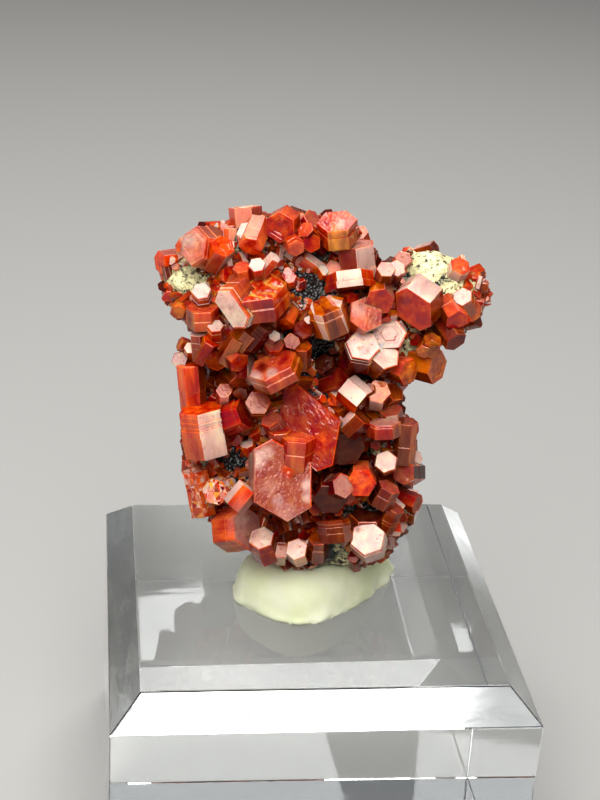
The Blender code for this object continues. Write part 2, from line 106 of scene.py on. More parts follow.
# %% Colours, nodes and pieces
def linear(hex_colour):
    """Linear colour of an sRGB hex value such as D4451E."""
    values = [int(hex_colour[i:i + 2], 16) / 255.0 for i in (0, 2, 4)]
    return tuple(v / 12.92 if v <= 0.04045 else ((v + 0.055) / 1.055) ** 2.4
                 for v in values) + (1.0,)


def marks(size):
    """Scale of a pattern on Object coordinates whose marks are this many mm wide."""
    return 1.0 / (size * MM)


def heading(degrees):
    """Level unit vector that points in a direction."""
    return Vector((math.cos(math.radians(degrees)), math.sin(math.radians(degrees)), 0.0))


def wave(point, size):
    """Smooth noise at a point of the specimen, whose waves are this many mm long."""
    return noise.noise(point / (size * MM))


def azimuth(vector):
    """Direction in degrees that a vector points in, seen from above."""
    return math.degrees(math.atan2(vector.y, vector.x))


def new_finish(name, constants):
    """Material with constant values on its shader's own sockets, and that shader."""
    finish = bpy.data.materials.new(name)
    finish.use_nodes = True
    shader = finish.node_tree.nodes["Principled BSDF"]
    for key, value in constants.items():
        shader.inputs[key].default_value = value
    return finish, shader


def feed(node, links):
    """Link sockets of a node to other nodes: to their first output, or to the one given."""
    for key, source in dict(links).items():
        output = source.outputs[0] if isinstance(source, bpy.types.Node) else source
        node.id_data.links.new(output, node.inputs[key])


def add_node(finish, kind, settings=(), links=()):
    """Shader node of a kind with its settings and its links."""
    node = finish.node_tree.nodes.new("ShaderNode" + kind)
    for key, value in dict(settings).items():
        if isinstance(key, str) and hasattr(node, key):
            setattr(node, key, value)
        else:
            node.inputs[key].default_value = value
    feed(node, links)
    return node


def add_noise(finish, place, scale, detail, roughness=0.5):
    """Node for a cloudy pattern."""
    return add_node(finish, "TexNoise",
                    {"Scale": scale, "Detail": detail, "Roughness": roughness}, {"Vector": place})


def remap(finish, value, start, stop, at_start, at_stop):
    """Node that turns start to stop into at_start to at_stop and keeps within them."""
    return add_node(finish, "MapRange", {"From Min": start, "From Max": stop,
                                         "To Min": at_start, "To Max": at_stop}, {"Value": value})


def new_object(name, bm, finishes):
    """Object made of a bmesh and its finishes, in the scene."""
    mesh = bpy.data.meshes.new(name)
    bm.to_mesh(mesh)
    bm.free()
    for finish in finishes:
        mesh.materials.append(finish)
    made = bpy.data.objects.new(name, mesh)
    bpy.context.scene.collection.objects.link(made)
    return made


def finished_piece(name, bm, finishes, slot, *nodes):
    """Piece that rides on the specimen in place of its measured solids."""
    piece = new_object(name, bm, finishes)
    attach(piece, "root")
    if nodes:
        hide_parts(*nodes)
    return piece


def size_of(piece):
    """Width, depth and height of a piece in millimetres."""
    return [round(side / MM, 2) for side in piece.dimensions]


print("scarlet is", [round(v, 3) for v in linear("B81E04")])
print("marks of 0.5 mm need a scale of", round(marks(0.5)))

# %% [markdown]
# ## Clear acrylic
#
# The block is cast acrylic (PMMA), sawn square and polished on every side. It bends light
# a little less than glass, IOR 1.49, and takes up almost none of it. Handling leaves a
# faint haze and hair-fine scratches. The bevels are milled and less well polished: they
# are satin and a little wavy, and so they let out light that a perfect block would trap.
# One material with an attribute for the bevels keeps the block one body of clear plastic.

# %% Cast acrylic, polished and milled
CLEAR_POLISH, HAZED_POLISH, MILLED_ROUGHNESS = 0.004, 0.05, 0.36
acrylic, shader = new_finish("polished_cast_acrylic", {
    "Base Color": (1.0, 1.0, 1.0, 1.0), "IOR": 1.49, "Transmission Weight": 1.0})
place = add_node(acrylic, "TexCoord").outputs["Object"]
milled = add_node(acrylic, "Attribute", {"attribute_name": "milled"}).outputs["Fac"]
haze = add_noise(acrylic, place, marks(6.25), 3.0)
polish = remap(acrylic, haze, 0.45, 0.75, CLEAR_POLISH, HAZED_POLISH)
satin = add_node(acrylic, "Math", {"operation": "MULTIPLY_ADD", 1: MILLED_ROUGHNESS},
                 {0: milled, 2: polish})
# scratches 17 mm long; real ones are finer than a pixel, so these are 0.7 mm wide
hairs = add_node(acrylic, "Mapping", {"Scale": (marks(16.67), marks(0.7143), marks(0.7143))},
                 {"Vector": place})
relief = add_node(acrylic, "Bump", {"Strength": 0.03, "Distance": 0.02 * MM},
                  {"Height": add_noise(acrylic, hairs, 1.0, 2.0)})
# slow waves that the cutter left in the bevels, some 2 to 6 mm long
waves = add_node(acrylic, "Mapping", {"Scale": (marks(5.88), marks(5.88), marks(2.38))},
                 {"Vector": place})
wavy = add_node(acrylic, "Bump", {"Distance": 0.3 * MM},
                {"Height": add_noise(acrylic, waves, 1.0, 3.0), "Strength": milled,
                 "Normal": relief})
feed(shader, {"Roughness": satin, "Normal": wavy})
tint = add_node(acrylic, "VolumeAbsorption", {"Color": linear("E6F2EF"), "Density": 4.0})
feed(acrylic.node_tree.nodes["Material Output"], {"Volume": tint})
print(acrylic.name, "bends light by", round(shader.inputs["IOR"].default_value, 2))

# %% [markdown]
# ## The block
#
# The block is 38.1 mm square and 25.4 mm high, and its four top edges are cut at about
# 44 degrees. A cube whose top is drawn in gives that shape. The polisher takes the
# sharpness off every edge, so the edges get a narrow round of 0.12 mm, which carries the
# thin bright lines that the photograph shows.

# %% The clear block
BLOCK_SIDE = 38.1 * MM
BLOCK_HEIGHT = 25.4 * MM
BEVEL_IN = 2.7 * MM
BEVEL_DROP = 2.6 * MM
EDGE_ROUND = 0.12 * MM
SMALLEST_BEVEL = 20.0 * MM ** 2    # area that tells a bevel from the rounds beside it

bm = bmesh.new()
bmesh.ops.create_cube(bm, size=1.0)
wall = BLOCK_HEIGHT - BEVEL_DROP
bmesh.ops.scale(bm, vec=(BLOCK_SIDE, BLOCK_SIDE, wall), verts=bm.verts)
bmesh.ops.translate(bm, vec=(0.0, 0.0, wall / 2.0), verts=bm.verts)
top = max(bm.faces, key=lambda face: face.calc_center_median().z)
pulled = bmesh.ops.extrude_face_region(bm, geom=[top])["geom"]
corners = [item for item in pulled if isinstance(item, bmesh.types.BMVert)]
bmesh.ops.translate(bm, vec=(0.0, 0.0, BEVEL_DROP), verts=corners)
shrink = 1.0 - 2.0 * BEVEL_IN / BLOCK_SIDE
bmesh.ops.scale(bm, vec=(shrink, shrink, 1.0), verts=corners)
bmesh.ops.delete(bm, geom=[top], context="FACES_ONLY")
bmesh.ops.recalc_face_normals(bm, faces=bm.faces)
bmesh.ops.bevel(bm, geom=bm.edges, offset=EDGE_ROUND, offset_type="OFFSET", segments=2,
                profile=0.5, affect="EDGES", material=-1)
bm.normal_update()
milled_layer = bm.loops.layers.float_color.new("milled")
for face in bm.faces:
    share = 1.0 if 0.5 < face.normal.z < 0.9 and face.calc_area() > SMALLEST_BEVEL else 0.0
    for loop in face.loops:
        loop[milled_layer] = (share, share, share, 1.0)
block = finished_piece("clear_block", bm, [acrylic], "clear_acrylic", "acrylic_block")
print("block", size_of(block), "mm,", len(block.data.polygons), "faces")

# %% [markdown]
# ## Mounting putty
#
# Mineral putty is a soft wax-like filler of a pale green cream. It is dull, a little
# translucent, and keeps every touch of the fingers that pressed it. The lump could be
# simulated, but a dome on a listed foot, with one soft crease and a few slow waves,
# gives the same hand-made shape in a moment.

# %% Pale mineral putty
putty_finish, shader = new_finish("pale_mineral_putty", {
    "Roughness": 0.52, "IOR": 1.46, "Subsurface Weight": 0.35,
    "Subsurface Radius": (1.0, 0.9, 0.55), "Subsurface Scale": 0.8 * MM})
place = add_node(putty_finish, "TexCoord").outputs["Object"]
mottle = add_noise(putty_finish, place, marks(3.85), 4.0)
colour = add_node(putty_finish, "ValToRGB", {}, {"Fac": mottle})
ramp = colour.color_ramp.elements
ramp[0].position, ramp[0].color = 0.35, linear("E9EEBE")
ramp[1].position, ramp[1].color = 0.65, linear("F9FAD8")
skin = add_noise(putty_finish, place, marks(1.11), 5.0, 0.6)
relief = add_node(putty_finish, "Bump", {"Strength": 0.35, "Distance": 0.12 * MM},
                  {"Height": skin})
feed(shader, {"Base Color": colour, "Normal": relief})
print(putty_finish.name, "roughness", round(shader.inputs["Roughness"].default_value, 2))

# %% The putty lump
PUTTY_MIDDLE = Vector((1.0 * MM, -0.4 * MM, BLOCK_HEIGHT + 0.03 * MM))
PUTTY_HEIGHT = 5.8 * MM
PUTTY_SMOOTHINGS = 90
# direction in degrees and reach in mm of the lump's foot on the block
PUTTY_REACH = ((-180, 8.5), (-166, 8.7), (-150, 7.8), (-134, 7.5), (-117, 7.0), (-98, 6.2),
               (-80, 5.2), (-60, 4.7), (-35, 4.8), (-4, 5.8), (12, 7.7), (26, 9.2),
               (38, 8.0), (60, 6.0), (90, 5.2), (130, 5.4), (155, 6.8), (180, 8.5))


def putty_reach(degrees):
    """How far the lump reaches in a direction, in millimetres."""
    for (start, near), (end, far) in zip(PUTTY_REACH, PUTTY_REACH[1:]):
        if degrees <= end:
            share = (degrees - start) / (end - start)
            return near + (far - near) * share * share * (3.0 - 2.0 * share)
    return PUTTY_REACH[-1][1]


bm = bmesh.new()
bmesh.ops.create_icosphere(bm, subdivisions=6, radius=1.0)
for vertex in bm.verts:
    direction = vertex.co.copy()
    rise = max(0.0, direction.z)
    flat = math.hypot(direction.x, direction.y)
    reach = putty_reach(azimuth(direction)) * MM
    foot = 1.0 - 0.05 * (1.0 - min(1.0, rise / 0.15)) ** 2
    crease = 1.0 - 0.02 * math.exp(-((rise - 0.24) / 0.05) ** 2)
    fullness = 0.8 - 0.5 * max(0.0, -direction.x)
    spread = reach * flat ** fullness * foot * crease / max(flat, 1e-6)
    vertex.co = Vector((direction.x * spread, direction.y * spread, rise ** 0.9 * PUTTY_HEIGHT))
bmesh.ops.translate(bm, vec=PUTTY_MIDDLE, verts=bm.verts)
bmesh.ops.remove_doubles(bm, verts=bm.verts, dist=0.004 * MM)
bmesh.ops.recalc_face_normals(bm, faces=bm.faces)
above_foot = [vertex for vertex in bm.verts if vertex.co.z > PUTTY_MIDDLE.z + 0.5 * MM]
for _ in range(PUTTY_SMOOTHINGS):
    bmesh.ops.smooth_vert(bm, verts=above_foot, factor=0.5, use_axis_x=True, use_axis_y=True,
                          use_axis_z=True)
for vertex in bm.verts:
    height = vertex.co.z - PUTTY_MIDDLE.z
    if height > 0.01 * MM:
        push = 0.30 * wave(vertex.co, 3.6) + 0.06 * wave(vertex.co, 1.1)
        vertex.co += vertex.normal * push * MM * min(1.0, height / (0.8 * MM))
for face in bm.faces:
    face.smooth = True
putty = finished_piece("putty_lump", bm, [putty_finish], "pale_putty", "mounting_putty")
print("putty", size_of(putty), "mm,", len(putty.data.polygons), "faces")

# %% [markdown]
# ## The rock
#
# The crystals grew on a rough matrix: a cream and grey-green crust of fine sugary grains
# with black, glittering manganese oxide in its hollows. It could be sculpted by hand. Here
# a few overlapping lumps are melted into one body by a voxel remesh, and waves of three
# sizes then roughen it, so that its outline stays where the measured solid has it.
#
# Which part is cream and which is black is written as a short list of patches, kept on
# the mesh as an attribute that the finish reads.

# %% A point of the show face
def show_point(across, up, out):
    """Point read at across and up in the show plane, moved along its line of sight."""
    on_plane = show_middle + across * MM * right + up * MM * above
    return EYE + (on_plane - EYE) * (1.0 - out * MM / SHOW_DISTANCE)


def read_point(point):
    """Across and up at which a point is seen in the show plane, and how far out it is."""
    away = point - EYE
    depth = away.dot(forward)
    middle = show_middle - EYE
    scale = middle.dot(forward) / depth
    across = (away.dot(right) * scale - middle.dot(right)) / MM
    up = (away.dot(above) * scale - middle.dot(above)) / MM
    return across, up, (SHOW_DISTANCE - depth) / MM


print("the show plane's middle reads", [round(v, 3) for v in read_point(show_middle)])

# %% Cream and black matrix
GRAIN = 1.0 / 3.0    # mm across a grain of the crust
matrix_finish, shader = new_finish("cream_and_black_matrix", {
    "IOR": 1.6, "Specular IOR Level": 0.28})
place = add_node(matrix_finish, "TexCoord").outputs["Object"]
patch = add_node(matrix_finish, "Attribute", {"attribute_name": "patch"}).outputs["Fac"]
blotch = add_noise(matrix_finish, place, marks(1.613), 6.0, 0.62)
mixed = add_node(matrix_finish, "Math", {"operation": "ADD"},
                 {0: patch, 1: remap(matrix_finish, blotch, 0.3, 0.7, -0.34, 0.34)})
# dark mineral grains, two or three to the millimetre, sprinkled through the cream
sprinkle = add_noise(matrix_finish, place, marks(0.4348), 4.0, 0.7)
mineral = add_node(matrix_finish, "Math", {"operation": "ADD", "use_clamp": True},
                   {0: mixed, 1: remap(matrix_finish, sprinkle, 0.50, 0.62, 0.0, -0.55)})
colour = add_node(matrix_finish, "ValToRGB", {}, {"Fac": mineral})
ramp = colour.color_ramp.elements
ramp[0].position, ramp[0].color = 0.22, linear("0B0C0A")
ramp[1].position, ramp[1].color = 0.92, linear("EFE6AE")
for position, tone in ((0.36, "1E1B17"), (0.46, "6B6A55"), (0.58, "A79F78"), (0.74, "CFC48E")):
    ramp.new(position).color = linear(tone)
gloss = remap(matrix_finish, mineral, 0.25, 0.5, 0.26, 0.8)
grains = add_node(matrix_finish, "TexVoronoi", {"Scale": marks(GRAIN)}, {"Vector": place})
relief = add_node(matrix_finish, "Bump", {"Strength": 1.0, "Distance": 0.16 * MM},
                  {"Height": grains})
feed(shader, {"Base Color": colour, "Roughness": gloss, "Normal": relief})
print(matrix_finish.name, "grains of", round(GRAIN, 2), "mm")

# %% The rock's body
# across, up, out and half sizes of each lump in mm
ROCK_LUMPS = (
    (-1.5, -9.0, -4.0, 8.6, 6.0, 6.0),
    (-1.5, 0.0, -1.2, 9.4, 7.5, 5.7),
    (-2.5, 8.0, 2.0, 9.6, 6.4, 5.2),
    (-3.0, 12.2, 3.5, 7.6, 2.9, 3.8),
    (-10.0, 9.2, 1.0, 3.4, 3.6, 3.6),
    (10.4, 8.3, 1.5, 4.9, 3.7, 3.4),
    (6.0, 5.5, 1.0, 5.0, 5.0, 5.0),
    (0.8, -13.4, -4.0, 6.8, 3.2, 5.0),
    (5.4, -11.0, -3.5, 3.1, 3.4, 4.3),
    (-7.4, -6.0, -2.5, 4.2, 6.6, 4.8),
    (6.6, -4.9, -1.0, 2.0, 2.6, 2.8),
)
ROCK_VOXEL = 0.32 * MM

bm = bmesh.new()
for across, up, out, half_across, half_up, half_out in ROCK_LUMPS:
    lump = bmesh.ops.create_icosphere(bm, subdivisions=3, radius=1.0)["verts"]
    turn = SHOW_TURN.copy()
    turn.translation = show_point(across, up, out)
    sizes = Matrix.Diagonal((half_across * MM, half_up * MM, half_out * MM, 1.0))
    bmesh.ops.transform(bm, matrix=turn @ sizes, verts=lump)
melting = new_object("rock_lumps", bm, [])
remesh = melting.modifiers.new("melt", "REMESH")
remesh.mode = "VOXEL"
remesh.voxel_size = ROCK_VOXEL
depsgraph = bpy.context.evaluated_depsgraph_get()
melted = bpy.data.meshes.new_from_object(melting.evaluated_get(depsgraph), depsgraph=depsgraph)
bpy.data.objects.remove(melting)
print("melted rock,", len(melted.polygons), "faces")

# %% Patches of cream and black, and the rough surface
# across, up, reach and tone of each patch: 1 is cream, 0 is black
MATRIX_PATCHES = (
    (13.0, 11.5, 2.6, 1.0), (9.5, 11.0, 2.4, 0.95), (12.0, 9.0, 2.2, 0.85),
    (8.4, 9.0, 1.4, 0.55), (9.0, 5.2, 1.4, 0.60), (10.5, 4.5, 1.5, 0.75),
    (-11.8, 9.4, 2.2, 0.9), (-10.8, 7.6, 1.6, 0.75), (-12.6, 4.8, 1.4, 0.8),
    (5.1, -6.1, 0.9, 0.95), (7.2, -13.0, 1.4, 0.85), (8.0, -1.4, 1.0, 0.85),
    (9.2, -8.0, 1.2, 0.9), (1.8, -15.8, 1.8, 0.65), (4.0, -15.6, 1.4, 0.7),
    (0.8, 3.4, 2.8, 0.0), (0.4, 8.0, 2.4, 0.05), (-7.0, -6.8, 1.6, 0.0),
    (3.0, 9.0, 2.2, 0.1), (-2.0, -13.0, 2.0, 0.05), (0.2, -15.0, 1.6, 0.1),
    (-8.0, 6.0, 1.2, 0.2), (2.0, -7.0, 3.0, 0.15), (6.0, 0.5, 1.8, 0.15),
)

bm = bmesh.new()
bm.from_mesh(melted)
patch_layer = bm.verts.layers.float.new("patch")
bm.normal_update()
for vertex in bm.verts:
    across, up, out = read_point(vertex.co)
    facing = max(0.0, vertex.normal.dot((EYE - vertex.co).normalized()))
    tone = 0.52 + 0.5 * wave(vertex.co, 3.6)
    weight = 1.0
    for at_across, at_up, reach, shade in MATRIX_PATCHES:
        near = math.exp(-((across - at_across) ** 2 + (up - at_up) ** 2) / reach ** 2)
        near *= 6.0 * (0.15 + facing)
        tone += near * shade
        weight += near
    vertex[patch_layer] = tone / weight
for vertex in bm.verts:
    swell = 0.8 * wave(vertex.co, 3.2) + 0.34 * wave(vertex.co, 1.1)
    swell += 0.26 * abs(wave(vertex.co, 0.55))
    vertex.co += vertex.normal * swell * MM
for face in bm.faces:
    face.smooth = True
rock = finished_piece("matrix_crust", bm, [matrix_finish], "cream_and_black_rock",
                      "matrix_rock")
bpy.data.meshes.remove(melted)
print("rock", size_of(rock), "mm,", len(rock.data.polygons), "faces")

# %% [markdown]
# ## Vanadinite
#
# Vanadinite is a lead mineral that grows as short hexagonal prisms. It has an oily, almost
# diamond-like lustre, because its IOR is near 2.3, and light goes a millimetre or so into
# it and comes back orange or red. Faces that look at the softbox mirror it as white or
# pink, and faces that don't show the deep body colour.
#
# A colour for each face could come from separate materials. One colour attribute, "body",
# does it with one material for each kind: its colour is the tone of that face, and its
# alpha is how frosted the face is. A second attribute, "grain", is the place inside the
# crystal in millimetres, so that growth lines follow the crystal however it is turned.

# %% Finishes of the crystals
LUSTRE_IOR = 2.2


def vanadinite(name, scatter, depth, clearness, lustre):
    """Vanadinite finish: share of light scattered inside, how deep in mm, share that
    shines through, and strength of the mirror-like lustre."""
    finish, shader = new_finish(name, {
        "IOR": LUSTRE_IOR, "Specular IOR Level": lustre, "Specular Tint": linear("FFDACB"),
        "Subsurface Weight": scatter, "Subsurface Radius": (1.0, 0.28, 0.08),
        "Subsurface Scale": depth * MM, "Transmission Weight": clearness})
    body = add_node(finish, "Attribute", {"attribute_name": "body"})
    frost = body.outputs["Alpha"]
    grain = add_node(finish, "Attribute", {"attribute_name": "grain"}).outputs["Vector"]

    # cloudy zones inside, about a millimetre across and drawn out along the crystal
    zones = add_node(finish, "Mapping", {"Scale": (1.0, 1.0, 0.3)}, {"Vector": grain})
    cloud = add_noise(finish, zones, 1.1, 5.0, 0.6)
    cloud.inputs["Distortion"].default_value = 0.2
    shade = remap(finish, cloud, 0.34, 0.66, 0.0, 1.0)
    feed(shade, {"To Min": remap(finish, frost, 0.1, 0.5, 0.58, 0.84),
                 "To Max": remap(finish, frost, 0.1, 0.5, 1.46, 1.16)})
    tone = add_node(finish, "HueSaturation", {}, {
        "Color": body, "Value": shade, "Hue": remap(finish, cloud, 0.3, 0.7, 0.485, 0.515)})

    # etch pits on the frosted faces, one or two to the millimetre
    pits = add_node(finish, "TexVoronoi", {"Scale": 1.7}, {"Vector": grain})
    speck = remap(finish, pits, 0.10, 0.20, 1.0, 0.0)
    etched = add_node(finish, "Math", {"operation": "MULTIPLY"}, {0: speck, 1: frost})
    skin = add_node(finish, "Mix", {"data_type": "RGBA", "blend_type": "MULTIPLY",
                                    7: linear("B83A28")}, {0: etched, 6: tone})

    # growth lines: along the sides, and as nested hexagons on the ends
    lines = add_node(finish, "Mapping", {"Scale": (3.6, 3.6, 0.16)}, {"Vector": grain})
    reach = None
    for angle in (30, 90, 150):
        dot = add_node(finish, "VectorMath", {"operation": "DOT_PRODUCT", 1: heading(angle)},
                       {0: grain}).outputs["Value"]
        size = add_node(finish, "Math", {"operation": "ABSOLUTE"}, {0: dot})
        reach = add_node(finish, "Math", {"operation": "MAXIMUM"},
                         {0: reach, 1: size}) if reach else size
    nested = add_node(finish, "TexNoise",
                      {"noise_dimensions": "1D", "Scale": 3.2, "Detail": 3.0}, {"W": reach})
    relief = add_node(finish, "Math", {"operation": "MULTIPLY_ADD", 1: 0.4},
                      {0: nested, 2: add_noise(finish, lines, 1.0, 3.0)})
    carved = add_node(finish, "Math", {"operation": "MULTIPLY_ADD", 1: -0.5},
                      {0: speck, 2: relief})
    bump = add_node(finish, "Bump", {"Distance": 0.06 * MM},
                    {"Height": carved, "Strength": remap(finish, frost, 0.0, 0.7, 0.16, 0.85)})
    feed(shader, {"Base Color": skin.outputs[2], "Normal": bump,
                  "Roughness": remap(finish, frost, 0.0, 1.0, 0.05, 0.46)})
    return finish


CRYSTAL_FINISHES = {
    "red_orange_crystal": vanadinite("red_orange_vanadinite", 0.8, 0.9, 0.22, 0.15),
    "amber_crystal": vanadinite("amber_vanadinite", 0.8, 1.2, 0.35, 0.18),
    "mauve_crystal": vanadinite("mauve_vanadinite", 0.7, 0.6, 0.10, 0.16),
    "dark_crystal": vanadinite("dark_vanadinite", 0.6, 0.5, 0.20, 0.03),
}
print(len(CRYSTAL_FINISHES), "crystal finishes, IOR", LUSTRE_IOR)

# %% Tones of the faces
# tone of a face, and how frosted a face of that tone is
TONES = {
    "W": ("FFCDB8", 0.42),    # white: a painted reflection of the softbox
    "P": ("E4B8A8", 0.55),    # pearl, a frosted face whose pale colour is partly a painted reflection
    "T": ("EE9276", 0.50),    # peach
    "L": ("C07C6C", 0.50),    # lilac pink
    "S": ("DA5228", 0.30),    # salmon
    "M": ("A2442F", 0.44),    # mauve
    "Q": ("A82410", 0.32),    # dull red
    "R": ("B81E04", 0.12),    # scarlet
    "O": ("DE4004", 0.09),    # orange
    "Y": ("FFA23A", 0.07),    # yellow orange
    "A": ("C65802", 0.07),    # amber
    "B": ("8A2E04", 0.12),    # brown
    "K": ("701206", 0.12),    # dark red
    "D": ("48140A", 0.20),    # garnet, nearly black: the crystal's deep red and painted shade
}
print("tones", " ".join(TONES))

# %% [markdown]
# ## Where each crystal stands
#
# Every crystal that shows was read in the photograph: where its end face is, how far it
# leans from the line of sight and towards which hour of the clock, its spin, width and
# length. The measured solids come from the same rows, but for one crystal that stands
# nearer to the viewer here and one that stands further away. The last word of a row is its
# look: the tone of its end, those of its sides in turn, and small letters for its growth.

# %% Rows of the show face
EVEN_SIDES = (1.0,) * 6
Crystal = namedtuple("Crystal", "across up proud tilt clock spin wide long look sides",
                     defaults=[EVEN_SIDES])
